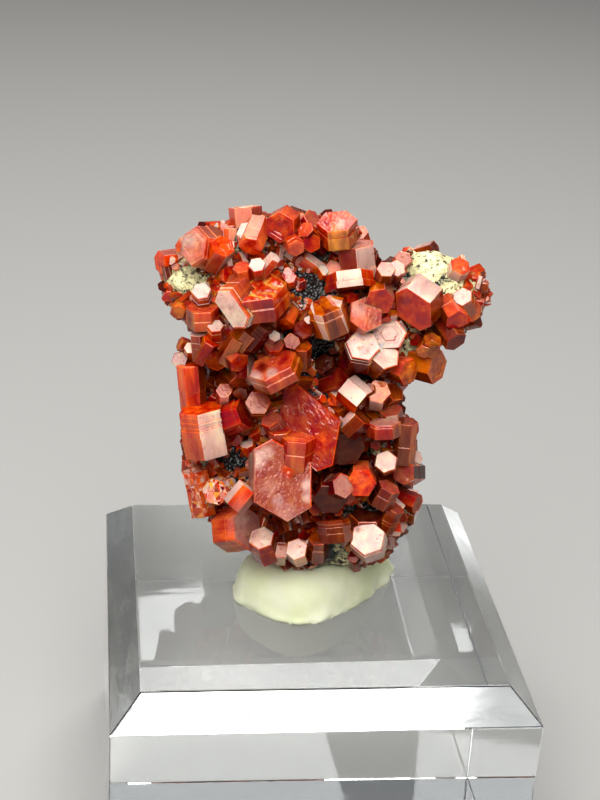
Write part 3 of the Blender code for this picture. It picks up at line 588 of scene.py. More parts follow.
# small letters: t terraced end, p pitted end, g growth rings, f glittering,
# c chipped, s shell-like break across the end, b banded, m mosaic of small facets
CRYSTAL_ROWS = {
    "far_left_prism": [(-14.2, 11.2, -1.0, 62, 188, 0, 1.9, 4.2, "OSOM")],
    "left_crown_prisms": [
        (-11.1, 12.7, 1.0, 46, 172, 0, 3.0, 2.6, "TSOMt"),
        (-12.2, 12.9, 0.6, 55, 150, 0, 1.5, 2.4, "SOOO"),
        (-8.4, 12.7, 0.6, 35, 60, 10, 1.9, 3.2, "OOSPt")],
    "crown_peach_prisms": [
        (-6.4, 16.3, -1.2, 86, 95, -9, 2.6, 3.9, "PSTMt"),
        (-6.0, 14.0, 0.9, 32, 100, 0, 2.0, 3.4, "POMK"),
        (-5.9, 12.6, 0.8, 45, 250, 15, 1.9, 3.0, "OSTSc")],
    "crown_hexagon": [
        (-3.2, 14.4, 1.2, 18, 228, 10, 2.4, 2.8, "ROOSt"),
        (-1.7, 12.5, 0.8, 30, 300, 0, 1.4, 3.0, "SRRS")],
    "crown_right_prisms": [
        (2.0, 15.0, 0.8, 57, 95, 0, 3.1, 2.0, "SOYAp"),
        (-0.9, 14.2, 0.7, 40, 130, 10, 1.4, 3.4, "SKKO"),
        (-0.3, 13.0, 0.2, 15, 0, 0, 1.5, 3.0, "RBBB")],
    "mauve_block": [
        (3.7, 12.9, -1.6, 76, 95, 30, 3.1, 3.4, "LMPL"),
        (3.1, 10.2, -1.6, 100, 97, 0, 3.7, 1.5, "RRWOt")],
    "shoulder_prisms": [
        (6.5, 10.6, 0.8, 35, 75, 15, 1.5, 3.4, "PMBM"),
        (7.5, 10.7, 0.4, 25, 60, 0, 1.4, 3.0, "PBBM"),
        (5.9, 7.6, 1.2, 25, 270, 10, 2.3, 3.0, "RMAK"),
        (4.7, 6.5, 1.0, 20, 45, 10, 2.8, 3.0, "SMRPp")],
    "lobe_top_prism": [(13.3, 10.9, 0.5, 40, 60, 0, 1.7, 2.6, "SPPP")],
    "lobe_big_prism": [
        (9.0, 6.9, 2.2, 35, 228, 10, 3.2, 3.0, "RBWP", (1.0, 0.95, 1.25, 1.0, 0.95, 1.25))],
    "lobe_tip_prisms": [
        (14.9, 8.9, 0.0, 58, 15, 0, 1.6, 3.2, "OSSO"),
        (14.6, 6.7, 0.0, 50, 340, 10, 1.7, 3.2, "SOOO"),
        (13.5, 8.1, 1.2, 30, 110, 10, 1.6, 2.4, "PAAA"),
        (13.0, 5.9, 1.4, 45, 300, 0, 1.9, 2.6, "RSSB"),
        (12.9, 3.9, 0.4, 60, 305, 0, 1.9, 3.4, "KBKB")],
    "lobe_under_prisms": [
        (11.2, 1.6, -0.6, 60, 345, 0, 2.7, 4.0, "ASABt"),
        (10.8, 4.1, 0.8, 40, 60, 0, 1.5, 2.6, "AAAA"),
        (9.9, 3.0, 0.9, 35, 250, 0, 1.2, 2.6, "ASBB"),
        (10.9, 3.0, 1.0, 30, 300, 20, 1.2, 2.6, "BAAA")],
    "white_hexagons": [
        (4.4, 3.6, 1.2, 25, 80, 0, 2.6, 2.8, "PKKAp"),
        (6.8, 4.7, 1.0, 25, 75, 20, 2.7, 2.8, "PPBAt"),
        (6.5, 2.7, 2.0, 28, 45, 5, 2.3, 2.8, "WBBB"),
        (8.6, 1.2, 0.8, 50, 340, 0, 2.2, 3.0, "ASSBt")],
    "fractured_crystal": [
        (-5.4, 9.0, 1.6, 60, 97, 0, 4.6, 2.2, "ROROs"),
        (-7.6, 6.9, 4.2, 35, 215, 0, 2.6, 3.0, "WPSS", (1.3, 0.75, 1.3, 1.3, 0.75, 1.3)),
        (-3.7, 11.7, 0.4, 60, 50, 30, 1.1, 2.6, "PPSP"),
        (-5.3, 11.0, 0.6, 30, 100, 0, 1.3, 3.2, "PSSS"),
        (-6.7, 10.8, 0.5, 50, 100, 0, 1.4, 2.8, "SSSR")],
    "left_white_and_orange": [
        (-10.4, 8.6, 0.8, 30, 100, 0, 1.5, 2.4, "PAAB"),
        (-10.3, 7.2, 0.6, 62, 92, 0, 2.5, 1.8, "SAOOt")],
    "left_small_prisms": [
        (-9.1, 5.4, 1.0, 40, 95, 0, 1.3, 2.6, "PORS"),
        (-9.4, 4.1, 0.8, 50, 60, 0, 1.5, 2.6, "RARK"),
        (-10.6, 4.7, 0.7, 70, 95, 30, 1.5, 2.4, "PMBB"),
        (-9.2, 2.0, 0.8, 50, 250, 0, 1.7, 3.0, "BBKB")],
    "amber_brown_prisms": [
        (-6.9, 4.4, 0.8, 62, 60, 0, 1.7, 2.8, "ABAB"),
        (-5.7, 4.9, 0.6, 62, 50, 0, 1.8, 2.8, "AAAK"),
        (-6.9, 2.0, 1.4, 45, 315, 0, 1.7, 2.8, "RKSK"),
        (-6.7, 0.2, 0.6, 60, 270, 0, 1.9, 3.0, "BMKB"),
        (-4.5, 5.5, 0.8, 58, 50, 0, 1.5, 2.6, "BAKK"),
        (-4.0, 6.7, 0.6, 40, 90, 0, 1.5, 3.0, "BBBK")],
    "left_edge_prisms": [
        (-12.4, 3.8, 0.2, 70, 160, 0, 1.2, 2.8, "ABBM"),
        (-12.4, 2.3, 0.6, 28, 160, 0, 1.4, 2.8, "PBBB"),
        (-11.4, 3.4, 0.9, 20, 90, 0, 1.0, 2.8, "PAAA"),
        (-11.4, 1.9, 0.0, 74, 95, 0, 2.2, 4.2, "OOOBt")],
    "pitted_tablet": [
        (-3.9, 1.9, 1.8, 56, 118, 0, 3.4, 1.5, "SAOAp", (1.15, 1.0, 1.15, 1.15, 1.0, 1.15)),
        (-3.7, 4.5, 0.8, 30, 60, 0, 1.0, 2.8, "PKMK"),
        (-3.7, 3.7, 0.7, 35, 90, 0, 1.5, 2.8, "MRRR")],
    "middle_brown_prisms": [
        (-2.1, 4.0, 0.8, 15, 60, 15, 1.3, 3.0, "MBBB"),
        (-1.1, 5.1, 0.2, 30, 60, 0, 1.6, 3.0, "KDKK"),
        (-1.2, 3.6, 0.5, 50, 90, 0, 1.5, 2.4, "BBBB")],
    "amber_glass_prism": [(1.0, 7.3, 0.8, 60, 108, 10, 2.9, 2.5, "AMAKb")],
    # the pocket's crystals take near-black tones: painted shade
    "pocket_dark_prisms": [
        (0.8, 2.0, -1.8, 30, 120, 0, 1.6, 2.6, "DMDK"),
        (2.4, 0.6, -0.8, 40, 20, 0, 1.8, 2.6, "KDKQ"),
        (3.2, 2.2, -1.4, 30, 60, 0, 1.8, 2.6, "KBKQ")],
    "upper_big_hexagon": [
        (-0.4, -3.9, 0.6, 14, 180, -10, 5.0, 3.0, "QKKOtp", (1.52, 1.02, 0.84, 1.66, 1.2, 1.04)),
        (3.1, -5.8, 0.2, 35, 330, 0, 3.0, 3.0, "DDDD")],
    "lower_big_hexagon": [
        (-2.9, -8.8, 3.2, 12, 10, -10, 5.4, 3.2, "MMMKtp", (1.37, 0.96, 1.07, 1.19, 0.93, 1.0)),
        (-6.0, -9.4, 2.8, 84, 50, 0, 2.0, 2.2, "PPOM")],
    "between_hexagons_prisms": [
        (-1.6, -4.7, 1.4, 66, 85, 0, 2.7, 3.4, "SRSRt"),
        (-3.2, -4.1, 0.8, 65, 95, 0, 1.9, 2.6, "QQQQ"),
        (-4.1, -3.1, 0.8, 45, 120, 0, 1.6, 2.6, "MRMM")],
    "left_striated_prism": [
        (-10.4, -2.1, 1.2, 74, 100, 18, 3.7, 4.2, "OSWBg"),
        (-6.4, -2.6, 0.0, 60, 20, 0, 2.4, 3.6, "KRRR"),
        (-8.3, -0.5, 0.6, 25, 90, 0, 1.3, 3.4, "MQPK")],
    "left_lower_prism": [(-11.0, -7.8, 0.6, 78, 100, 30, 2.3, 4.2, "RSOSgm")],
    "glittering_prism": [(-9.2, -9.8, 1.6, 25, 200, 0, 2.2, 3.2, "LMPKfm")],
    "lower_left_tablet": [
        (-6.2, -13.1, 1.0, 46, 5, 0, 3.4, 2.7, "LSOAp"),
        (-4.9, -14.0, 1.8, 32, 110, 0, 2.1, 3.0, "WQRK")],
    "bottom_small_prisms": [
        (-3.1, -15.1, 1.0, 14, 90, 0, 1.4, 3.0, "BBMB"),
        (-1.7, -15.0, 1.2, 14, 110, 0, 1.8, 3.0, "PPSB")],
    "middle_pale_prism": [(-5.2, -1.6, 0.4, 15, 90, 0, 2.0, 2.6, "MMBK")],
    "white_square_prism": [
        (4.5, -1.6, 1.0, 78, 320, 0, 2.4, 2.2, "KPWR"),
        (4.3, -2.9, 0.8, 72, 45, 0, 1.9, 2.0, "BPBK")],
    "right_orange_prisms": [
        (4.9, -0.3, 0.8, 40, 130, 0, 1.0, 2.6, "LBBB"),
        (5.8, -0.6, 1.2, 18, 80, 0, 2.0, 2.6, "AAPK"),
        (7.3, -0.6, 0.3, 45, 45, 0, 1.7, 2.6, "BBBB")],
    "right_flat_tablet": [
        (6.3, -3.4, 1.4, 72, 92, 0, 2.6, 1.2, "LRRAt"),
        (6.9, -2.2, 0.4, 45, 100, 0, 1.8, 2.8, "MMPB"),
        (8.4, -3.3, 0.4, 66, 84, 0, 1.8, 4.0, "MBBA")],
    "right_white_pentagon": [(6.5, -7.0, 1.4, 8, 90, 20, 1.8, 2.4, "PMMM")],
    "right_grey_prisms": [
        (8.1, -8.0, 0.4, 20, 180, 0, 2.0, 3.0, "MSDB"),
        (9.4, -6.6, -0.4, 50, 20, 0, 1.2, 2.8, "PPPP")],
    "mauve_and_orange_pair": [
        (2.6, -9.2, 1.4, 32, 10, 0, 2.0, 3.0, "LMKK"),
        (4.2, -9.0, 1.4, 20, 270, 0, 2.4, 3.0, "OSSBc"),
        (1.4, -10.5, 0.8, 30, 270, 0, 2.8, 2.6, "DKKK")],
    "right_dark_cube": [(6.8, -9.3, 1.4, 62, 60, 0, 1.9, 2.0, "MDKB")],
    "lower_right_prism": [(7.3, -11.2, 0.8, 60, 60, 0, 1.6, 2.6, "MBBB")],
    "lower_right_spur": [(9.4, -10.9, 0.2, 65, 335, 0, 1.6, 3.2, "BMQB")],
    "lower_right_tablet": [
        (4.8, -14.0, 1.6, 18, 110, 0, 2.8, 2.4, "PMPP"),
        (4.8, -11.8, -0.6, 58, 90, 0, 2.8, 1.5, "DBMK")],
    "striated_brown_block": [
        (1.7, -12.3, 0.2, 84, 95, 0, 2.5, 2.0, "BMBBg"),
        (0.3, -14.0, 0.6, 40, 90, 0, 1.6, 2.6, "BBBD")],
}
print(sum(map(len, CRYSTAL_ROWS.values())), "crystals in", len(CRYSTAL_ROWS), "groups")

# %% Rows of the back and sides
CLUSTER_AXIS = Vector((-0.8 * MM, 1.8 * MM, 0.0))
BackCrystal = namedtuple(
    "BackCrystal", "azimuth height radius tilt clock spin wide long look sides",
    defaults=[EVEN_SIDES])
BACK_ROWS = {
    "back_big_hexagon": [
        (95, 47.0, 8.3, 14, 60, 12, 4.4, 3.8, "QRtp"),
        (70, 44.6, 7.2, 34, 200, 0, 2.4, 3.4, "RO")],
    "back_upper_prisms": [
        (108, 56.2, 8.7, 28, 120, 5, 3.3, 3.6, "MRt"),
        (122, 54.6, 9.0, 40, 205, 0, 2.2, 3.6, "RO")],
    "back_crown_prism": [(86, 59.0, 6.2, 36, 84, 20, 2.7, 3.6, "ROt")],
    "back_right_prism": [(52, 52.2, 8.1, 26, 330, 0, 2.9, 3.8, "SOt")],
    "back_right_tablet": [
        (30, 47.4, 8.9, 62, 95, 8, 3.2, 2.4, "OSg"),
        (36, 44.2, 8.0, 40, 280, 0, 1.9, 3.2, "KR")],
    "back_low_prisms": [
        (98, 38.0, 6.8, 20, 265, 15, 3.1, 3.4, "MKt"),
        (116, 36.6, 6.8, 38, 235, 0, 2.1, 3.6, "KK")],
    "back_low_right_prism": [(60, 35.8, 6.4, 34, 300, 0, 2.5, 3.4, "RKt")],
    "back_left_prisms": [
        (140, 45.6, 10.1, 24, 30, 8, 3.1, 3.8, "SRt"),
        (132, 41.6, 8.4, 40, 250, 0, 2.0, 3.4, "RO")],
    "left_side_hexagon": [(166, 49.6, 10.6, 20, 100, 0, 3.5, 3.6, "QOtp")],
    "left_side_low_prism": [(160, 37.8, 10.3, 30, 215, 10, 2.7, 3.6, "MRt")],
    "left_side_upper_prism": [(156, 55.4, 14.2, 24, 150, 0, 2.5, 3.6, "SOt")],
    "lobe_back_prism": [(20, 56.4, 12.3, 26, 60, 10, 2.7, 3.6, "ROt")],
    "right_side_prism": [(14, 45.8, 8.8, 22, 330, 0, 2.6, 3.4, "MRt")],
    "right_low_prism": [(22, 36.4, 7.4, 30, 300, 0, 2.5, 3.4, "RBt")],
}
print(sum(map(len, BACK_ROWS.values())), "crystals in", len(BACK_ROWS), "groups")

# %% From a row to a place
def front_height(across, up):
    """How far the cluster's front stands out of the show plane, in millimetres."""
    column = 6.5 + 0.28 * up - 5.0 * abs((across + 1.5) / 12.0) ** 2.5
    column -= 4.0 * max(0.0, (up - 9.0) / 7.0) ** 2
    if across > 7.0 and up > 0.0:
        return max(column, 5.6 - 3.0 * ((across - 10.5) / 5.0) ** 2)
    return column


def crystal_frame(centre, toward, upward, tilt, clock, spin):
    """Matrix whose origin is the end face's centre and whose Z is the crystal's axis."""
    side = upward.cross(toward).normalized()
    upward = toward.cross(side)
    hour = math.radians(clock)
    leaning = math.cos(hour) * side + math.sin(hour) * upward
    level = math.cos(hour) * upward - math.sin(hour) * side
    axis = math.cos(math.radians(tilt)) * toward + math.sin(math.radians(tilt)) * leaning
    turned = (math.cos(math.radians(spin)) * level
              + math.sin(math.radians(spin)) * axis.cross(level))
    placed = Matrix((turned, axis.cross(turned), axis)).transposed().to_4x4()
    placed.translation = centre
    return placed


def show_frame(row):
    """Frame of a crystal that is read in the show face."""
    centre = show_point(row.across, row.up, front_height(row.across, row.up) + row.proud)
    toward = (EYE - centre).normalized()
    return crystal_frame(centre, toward, above, row.tilt, row.clock, row.spin)


def back_frame(row):
    """Frame of a crystal that stands round the back or a side."""
    outward = heading(row.azimuth)
    centre = CLUSTER_AXIS + outward * row.radius * MM
    centre.z = row.height * MM
    return crystal_frame(centre, outward, Vector((0.0, 0.0, 1.0)), row.tilt, row.clock, row.spin)


all_frames = [show_frame(Crystal(*row)) for rows in CRYSTAL_ROWS.values() for row in rows]
print("highest end at", round(max(placed.translation.z for placed in all_frames) / MM, 1), "mm")

# %% [markdown]
# ## Growing one crystal
#
# A crystal starts as a six-sided outline with a foot below it, a prism. A plain prism
# looks like plastic, so each gets what real growth leaves. Its end is inset and raised or
# sunk a few hundredths of a millimetre into terraces. Rings of its sides step in and out
# where growth paused. Some corners are broken off by a cut plane, and every edge is
# bevelled, because even a keen natural edge catches a line of light. Large ends are then
# cut into a fine net whose points move, for low hills and pits. One crystal ends in a
# shell-like break, one is banded, and two are a mosaic of small facets. Boolean cuts could
# do this too, but insets and plane cuts keep the mesh small and closed.

# %% Prism, terraces, rings and chips
WELD = 0.0005 * MM    # a plane that passes a vertex closer than this cuts through it
# Corners 0 to 5 are round the end and 6 to 11 round the foot. An extrusion would leave the
# sides in an order that changes from run to run, and their shades are drawn in that order.
UPRIGHTS = ((4, 10), (9, 3), (2, 8), (7, 1), (0, 6), (11, 5))
FOOT_AND_SIDES = ((6, 11, 10, 9, 8, 7), (3, 9, 10, 4), (1, 7, 8, 2), (5, 11, 6, 0),
                  (4, 10, 11, 5), (2, 8, 9, 3), (0, 6, 7, 1))


def six_corners(distances):
    """Corners of a six-sided outline whose faces lie at these distances."""
    corners = []
    for index, distance in enumerate(distances):
        following = distances[(index + 1) % 6]
        angle = math.radians(60 * index + 30)
        slide = (following - distance * 0.5) / math.sin(math.radians(60))
        corners.append(Vector((distance * math.cos(angle) - slide * math.sin(angle),
                               distance * math.sin(angle) + slide * math.cos(angle), 0.0)))
    return corners


def prism(distances, length):
    """Closed six-sided prism whose end is at zero and whose foot is at -length."""
    bm = bmesh.new()
    outline = six_corners(distances)
    foot = [corner - Vector((0.0, 0.0, length)) for corner in outline]
    corners = [bm.verts.new(corner) for corner in outline + foot]
    bm.faces.new(corners[:6])
    for start, stop in [(6, 7), (7, 8), (8, 9), (9, 10), (10, 11), (11, 6), *UPRIGHTS]:
        bm.edges.new((corners[start], corners[stop]))
    for numbers in FOOT_AND_SIDES:
        bm.faces.new([corners[number] for number in numbers])
    bmesh.ops.recalc_face_normals(bm, faces=bm.faces)
    return bm


def end_of(bm):
    """The largest face that looks along the crystal's axis."""
    bm.normal_update()
    ends = [face for face in bm.faces if face.normal.z > 0.95]
    return max(ends, key=lambda face: face.calc_area())


def step_in(bm, face, share, shift, wall, depth):
    """Draw a smaller outline inside a face, then raise or sink it by depth."""
    about = Matrix.Translation(-face.calc_center_median())
    bmesh.ops.inset_individual(bm, faces=[face], thickness=0.002 * MM)
    bmesh.ops.scale(bm, vec=(share, share, 1.0), space=about, verts=face.verts)
    bmesh.ops.translate(bm, vec=shift, verts=face.verts)
    bmesh.ops.inset_individual(bm, faces=[face], thickness=wall, depth=depth)


def cut(bm, point, normal, clear_outer=False):
    """Cut a whole mesh along a plane, and clear what lies outside if asked."""
    bmesh.ops.bisect_plane(bm, geom=bm.verts[:] + bm.edges[:] + bm.faces[:], dist=WELD,
                           plane_co=point, plane_no=normal, clear_outer=clear_outer)


def growth_ring(bm, height, swell, lean):
    """Let the prism below a height step out by swell, more on one side than on the other."""
    for level in (height, height - 0.03 * MM):
        cut(bm, (0.0, 0.0, level), (0.0, 0.0, 1.0))
    lower = [vertex for vertex in bm.verts if vertex.co.z < height - 0.02 * MM]
    bmesh.ops.scale(bm, vec=(1.0 + swell, 1.0 + swell, 1.0), verts=lower)
    bmesh.ops.translate(bm, vec=(lean.x, lean.y, 0.0), verts=lower)


def chip(bm, point, outward):
    """Break off what lies outside a plane and close the break."""
    cut(bm, point, outward, clear_outer=True)
    rim = [edge for edge in bm.edges if edge.is_boundary]
    bmesh.ops.holes_fill(bm, edges=rim, sides=0)
    bm.normal_update()


def soften(bm, length, width):
    """Narrow bevel on every edge but those of the foot."""
    keen = [edge for edge in bm.edges
            if len(edge.link_faces) == 2 and edge.calc_face_angle() > 0.25
            and max(vertex.co.z for vertex in edge.verts) > -0.97 * length]
    bmesh.ops.bevel(bm, geom=keen, offset=width, offset_type="OFFSET", segments=1, profile=0.5,
                    affect="EDGES", material=-1, clamp_overlap=True)


def settled(bm):
    """Copy of a mesh without the gaps that a bevel leaves. New faces fill such gaps, in an
    order that changes from run to run."""
    copy = bm.copy()
    bm.free()
    return copy


trial = prism([1.5 * MM] * 6, 3.0 * MM)
step_in(trial, end_of(trial), 0.7, (0.1 * MM, 0.0, 0.0), 0.03 * MM, -0.05 * MM)
growth_ring(trial, -1.0 * MM, 0.04, Vector((0.0, 0.0, 0.0)))
chip(trial, (1.2 * MM, 0.0, 0.0), (0.7, 0.0, 0.7))
soften(trial, 3.0 * MM, 0.04 * MM)
print("a trial crystal has", len(trial.faces), "faces and",
      sum(1 for edge in trial.edges if not edge.is_manifold), "open edges")
trial.free()

# %% Rough ends, breaks, bands and facets
FINEST_NET = 17    # cuts along an edge of the net on the largest ends


def split_finely(bm, face, cuts):
    """Cut one face into a fine net and return the vertices inside it."""
    parts = bmesh.ops.poke(bm, faces=[face])["faces"]
    edges = list(dict.fromkeys(edge for part in parts for edge in part.edges))
    made = bmesh.ops.subdivide_edges(bm, edges=edges, cuts=cuts, use_grid_fill=True)
    net = {item for item in made["geom_inner"] if isinstance(item, bmesh.types.BMVert)}
    net |= {vertex for part in parts if part.is_valid for vertex in part.verts}
    return [vertex for vertex in net if all(abs(f.normal.z) > 0.9 for f in vertex.link_faces)]


def rough_relief(spot, habit, pits, seed):
    """Height in mm of a natural end face at a spot in mm."""
    place = Vector((spot.x, spot.y, seed))
    height = 0.022 * noise.noise(place * 0.8) + 0.009 * noise.noise(place * 3.6)
    if "t" in habit:
        height += 0.02 * math.floor(4.0 * noise.noise(place * 0.45))
    for x, y, reach in pits:
        away = math.hypot(spot.x - x, spot.y - y) / reach
        if away < 1.0:
            height -= 0.45 * reach * (1.0 - away ** 3)
    return height


def rough_end(bm, half, habit, dice):
    """Give the end face the low hills, steps and pits of a natural face."""
    seed = dice.uniform(0.0, 90.0)
    count = 5 if "p" in habit else dice.choice((0, 0, 1))
    pits = [(dice.uniform(-0.55, 0.55) * half / MM, dice.uniform(-0.55, 0.55) * half / MM,
             dice.uniform(0.10, 0.2)) for _ in range(count)]
    cuts = max(3, min(FINEST_NET, round(half / (0.15 * MM))))
    net = split_finely(bm, end_of(bm), cuts)
    for vertex in net:
        vertex.co.z += rough_relief(vertex.co / MM, habit, pits, seed) * MM


def shell_break(bm, half):
    """Break the end off along a curved, rippled surface, as glass breaks; its crests get a painted
    highlight.
    """
    ripple = bm.verts.layers.float.new("ripple")
    net = split_finely(bm, end_of(bm), FINEST_NET)
    strike = Vector((-1.05 * half, -0.75 * half, 0.0))
    for vertex in net:
        away = (vertex.co - strike).length / MM + 0.35 * noise.noise(vertex.co / MM * 0.9)
        crest = 0.5 + 0.5 * math.sin(away * 5.0 + 3.0 * noise.noise(vertex.co / MM * 1.6))
        vertex[ripple] = 0.8 * crest ** 5 * min(1.0, 0.35 + 0.3 * away)
        dip = 0.42 * math.exp(-((away - 2.2) / 1.3) ** 2)
        vertex.co.z -= (0.16 * crest + dip) * MM


def bands(bm, half, count, dice):
    """Cut the sides into bands that run along the crystal."""
    for _ in range(count):
        angle = dice.uniform(-0.5, 0.5)
        across = Vector((math.cos(angle), math.sin(angle), dice.uniform(-0.16, 0.16)))
        cut(bm, across * dice.uniform(-1.0, 1.0) * half, across)


def facets(bm, half, length, count, dice):
    """Cut a crystal's skin into a mosaic of small facets that stay in place."""
    for _ in range(count):
        lean = Vector([dice.gauss(0.0, 1.0) for _ in range(3)]).normalized()
        centre = Vector((dice.uniform(-0.7, 0.7) * half, dice.uniform(-0.7, 0.7) * half,
                         -dice.uniform(0.0, 0.8) * length))
        cut(bm, centre, lean)


pit_floor = rough_relief(Vector(), "", [(0, 0, 0.3)], 0)
print("a pit that reaches 0.3 mm is", round(-pit_floor, 2), "mm deep")

# %% Growing a crystal
def grow(distances, length, look, dice):
    """Crystal in its own frame, grown in the way its small letters say."""
    half = sum(distances) / 6.0
    habit = look[sum(letter.isupper() for letter in look):]
    bm = prism(distances, length)
    rim_layer = bm.faces.layers.int.new("rim")
    if "b" in habit:
        bands(bm, half, 9, dice)
    elif half > 0.6 * MM:
        rim = bmesh.ops.inset_region(bm, faces=[end_of(bm)],
                                     thickness=dice.uniform(0.07, 0.13) * min(half, 1.2 * MM))
        # three neighbouring faces of the rim are marked for a painted orange glow
        first = dice.randrange(6)
        for index, face in enumerate(rim["faces"]):
            face[rim_layer] = 1 if (index - first) % 6 < 3 else 0
    if "t" in habit and half < 2.0 * MM:
        for share in (0.86, 0.70):
            shift = (dice.uniform(-0.09, 0.09) * half, dice.uniform(-0.09, 0.09) * half, 0.0)
            step_in(bm, end_of(bm), share, shift, 0.03 * MM, dice.choice((-0.05, 0.06)) * MM)
    rings = 6 if "g" in habit else dice.choice((0, 1, 1, 2))
    for share in sorted(dice.uniform(0.06, 0.6) for _ in range(rings)):
        swell = dice.uniform(-0.03, 0.03) if "g" in habit else dice.choice((-0.04, 0.03, 0.06))
        lean = Vector((dice.uniform(-0.03, 0.03), dice.uniform(-0.03, 0.03), 0.0)) * half
        growth_ring(bm, -share * length, swell, lean)
    for _ in range(3 if "c" in habit else dice.choice((0, 0, 0, 1))):
        corner = heading(60 * dice.randrange(6) + dice.uniform(-14, 14))
        bite = dice.uniform(0.62, 0.9) if "c" in habit else dice.uniform(0.93, 1.04)
        outward = corner * dice.uniform(0.5, 1.1) + Vector((0.0, 0.0, 1.0))
        chip(bm, corner * half * 1.15 * bite, outward)
    soften(bm, length, min(0.06 * MM, 0.06 * half))
    bm = settled(bm)
    if "m" in habit:
        facets(bm, half, length, 26, dice)
    elif "s" in habit:
        shell_break(bm, half)
    elif half > 0.65 * MM:
        rough_end(bm, half, habit, dice)
    return bm


print("rims, terraces, rings, chips and pits are drawn from a seed for each group")

# %% [markdown]
# ## Painting the crystals
#
# The tones of a natural crystal are not even: a face carries stains from its neighbours.
# Light is painted in as well: pale patches are painted glints, rims and edge rounds carry
# a painted orange glow or a pale painted highlight, and each crystal is painted darker
# towards its foot as shade. An image could carry that, but a few soft patches and a tone
# for each face are enough, and they stay sharp at any size. They are written to the
# corners of each face, where the finishes read them.

# %% Stains and bright patches
# across, up and reach in mm, tone and strength of patches on the large crystals: the pale P
# patches are painted glints, the others stains
STAINS_AND_GLINTS = ((-5.4, -6.8, 1.1, "P", 1.0), (-4.4, -6.2, 0.8, "P", 0.6), (-2.4, -7.8, 0.9, "R", 1.0),
          (-1.8, -8.3, 0.6, "K", 0.6), (-0.6, -9.2, 0.8, "P", 0.9), (-0.7, -10.3, 0.6, "P", 0.8),
          (-2.7, -11.9, 1.4, "L", 0.8), (-4.2, -9.4, 1.0, "L", 0.6), (-3.4, -10.6, 0.7, "P", 0.5),
          (0.3, -5.0, 1.5, "O", 0.7), (0.9, -2.6, 1.0, "R", 0.7),
          (-1.4, -2.4, 0.8, "K", 0.4), (-1.8, -4.4, 0.8, "S", 0.4), (0.8, -4.0, 0.8, "K", 0.3),
          (-5.5, 0.6, 0.9, "P", 1.0), (-3.9, 1.0, 0.7, "P", 0.9), (-4.8, 1.6, 0.6, "K", 0.9),
          (-2.7, 2.6, 1.2, "R", 0.7), (-11.6, 13.4, 0.9, "P", 1.0), (-10.5, 12.0, 0.8, "S", 0.7),
          (-3.0, 15.4, 0.9, "S", 0.6), (-3.9, 14.0, 1.0, "R", 0.7), (1.0, 15.2, 0.7, "R", 0.8),
          (3.2, 15.3, 0.9, "S", 0.7), (2.4, 14.8, 0.6, "P", 0.7), (4.0, 6.9, 0.9, "P", 0.6),
          (5.4, 6.0, 0.9, "M", 0.8), (4.3, 3.3, 0.8, "P", 0.6), (8.0, 7.8, 0.9, "M", 0.5),
          (-6.8, -12.2, 0.9, "P", 0.8), (-5.6, -13.4, 0.9, "L", 0.8), (3.9, -13.2, 0.4, "K", 1.0),
          (4.5, -14.6, 0.9, "P", 0.8), (4.3, -8.6, 0.7, "S", 0.7), (3.7, -9.6, 0.7, "R", 0.8))


def blend(colour, other, share):
    """Colour that lies a share of the way to another."""
    return [value + share * (goal - value) for value, goal in zip(colour, other)]


def stained_and_glinting(colour, frost, spot):
    """Colour and frost of a spot on the show face once the stains and painted glints lie on it."""
    across, up, out = spot
    for a, u, reach, tone, strength in STAINS_AND_GLINTS:
        away = math.hypot(across - a, up - u) / reach
        if away < 1.0:
            share = strength * (1.0 - away ** 2)
            mark_colour, mark_frost = TONES[tone]
            colour = blend(colour, linear(mark_colour), share)
            frost += share * (mark_frost - frost)
    return colour, frost


print(len(STAINS_AND_GLINTS), "stains and bright patches")

# %% Painting a crystal
DARK = "KD"
PAINTED_EDGE_GLOW = linear("E8702A")
PAINTED_CREST_HIGHLIGHT = linear("FFB050")
PAINTED_EDGE_HIGHLIGHT = linear("FFD8C4")
GLASS_BANDS = "BAWAKBAATWABA"
WIDEST_ROUND = 0.12 * MM


def side_of(normal):
    """Number of the prism side that faces as a normal does."""
    return round((azimuth(normal) - 30.0) / 60.0) % 6


def is_edge_round(face):
    """Whether a face is the narrow round of an edge between two sides."""
    longest = max(edge.calc_length() for edge in face.edges)
    return face.calc_area() < WIDEST_ROUND * longest and longest > 0.2 * MM


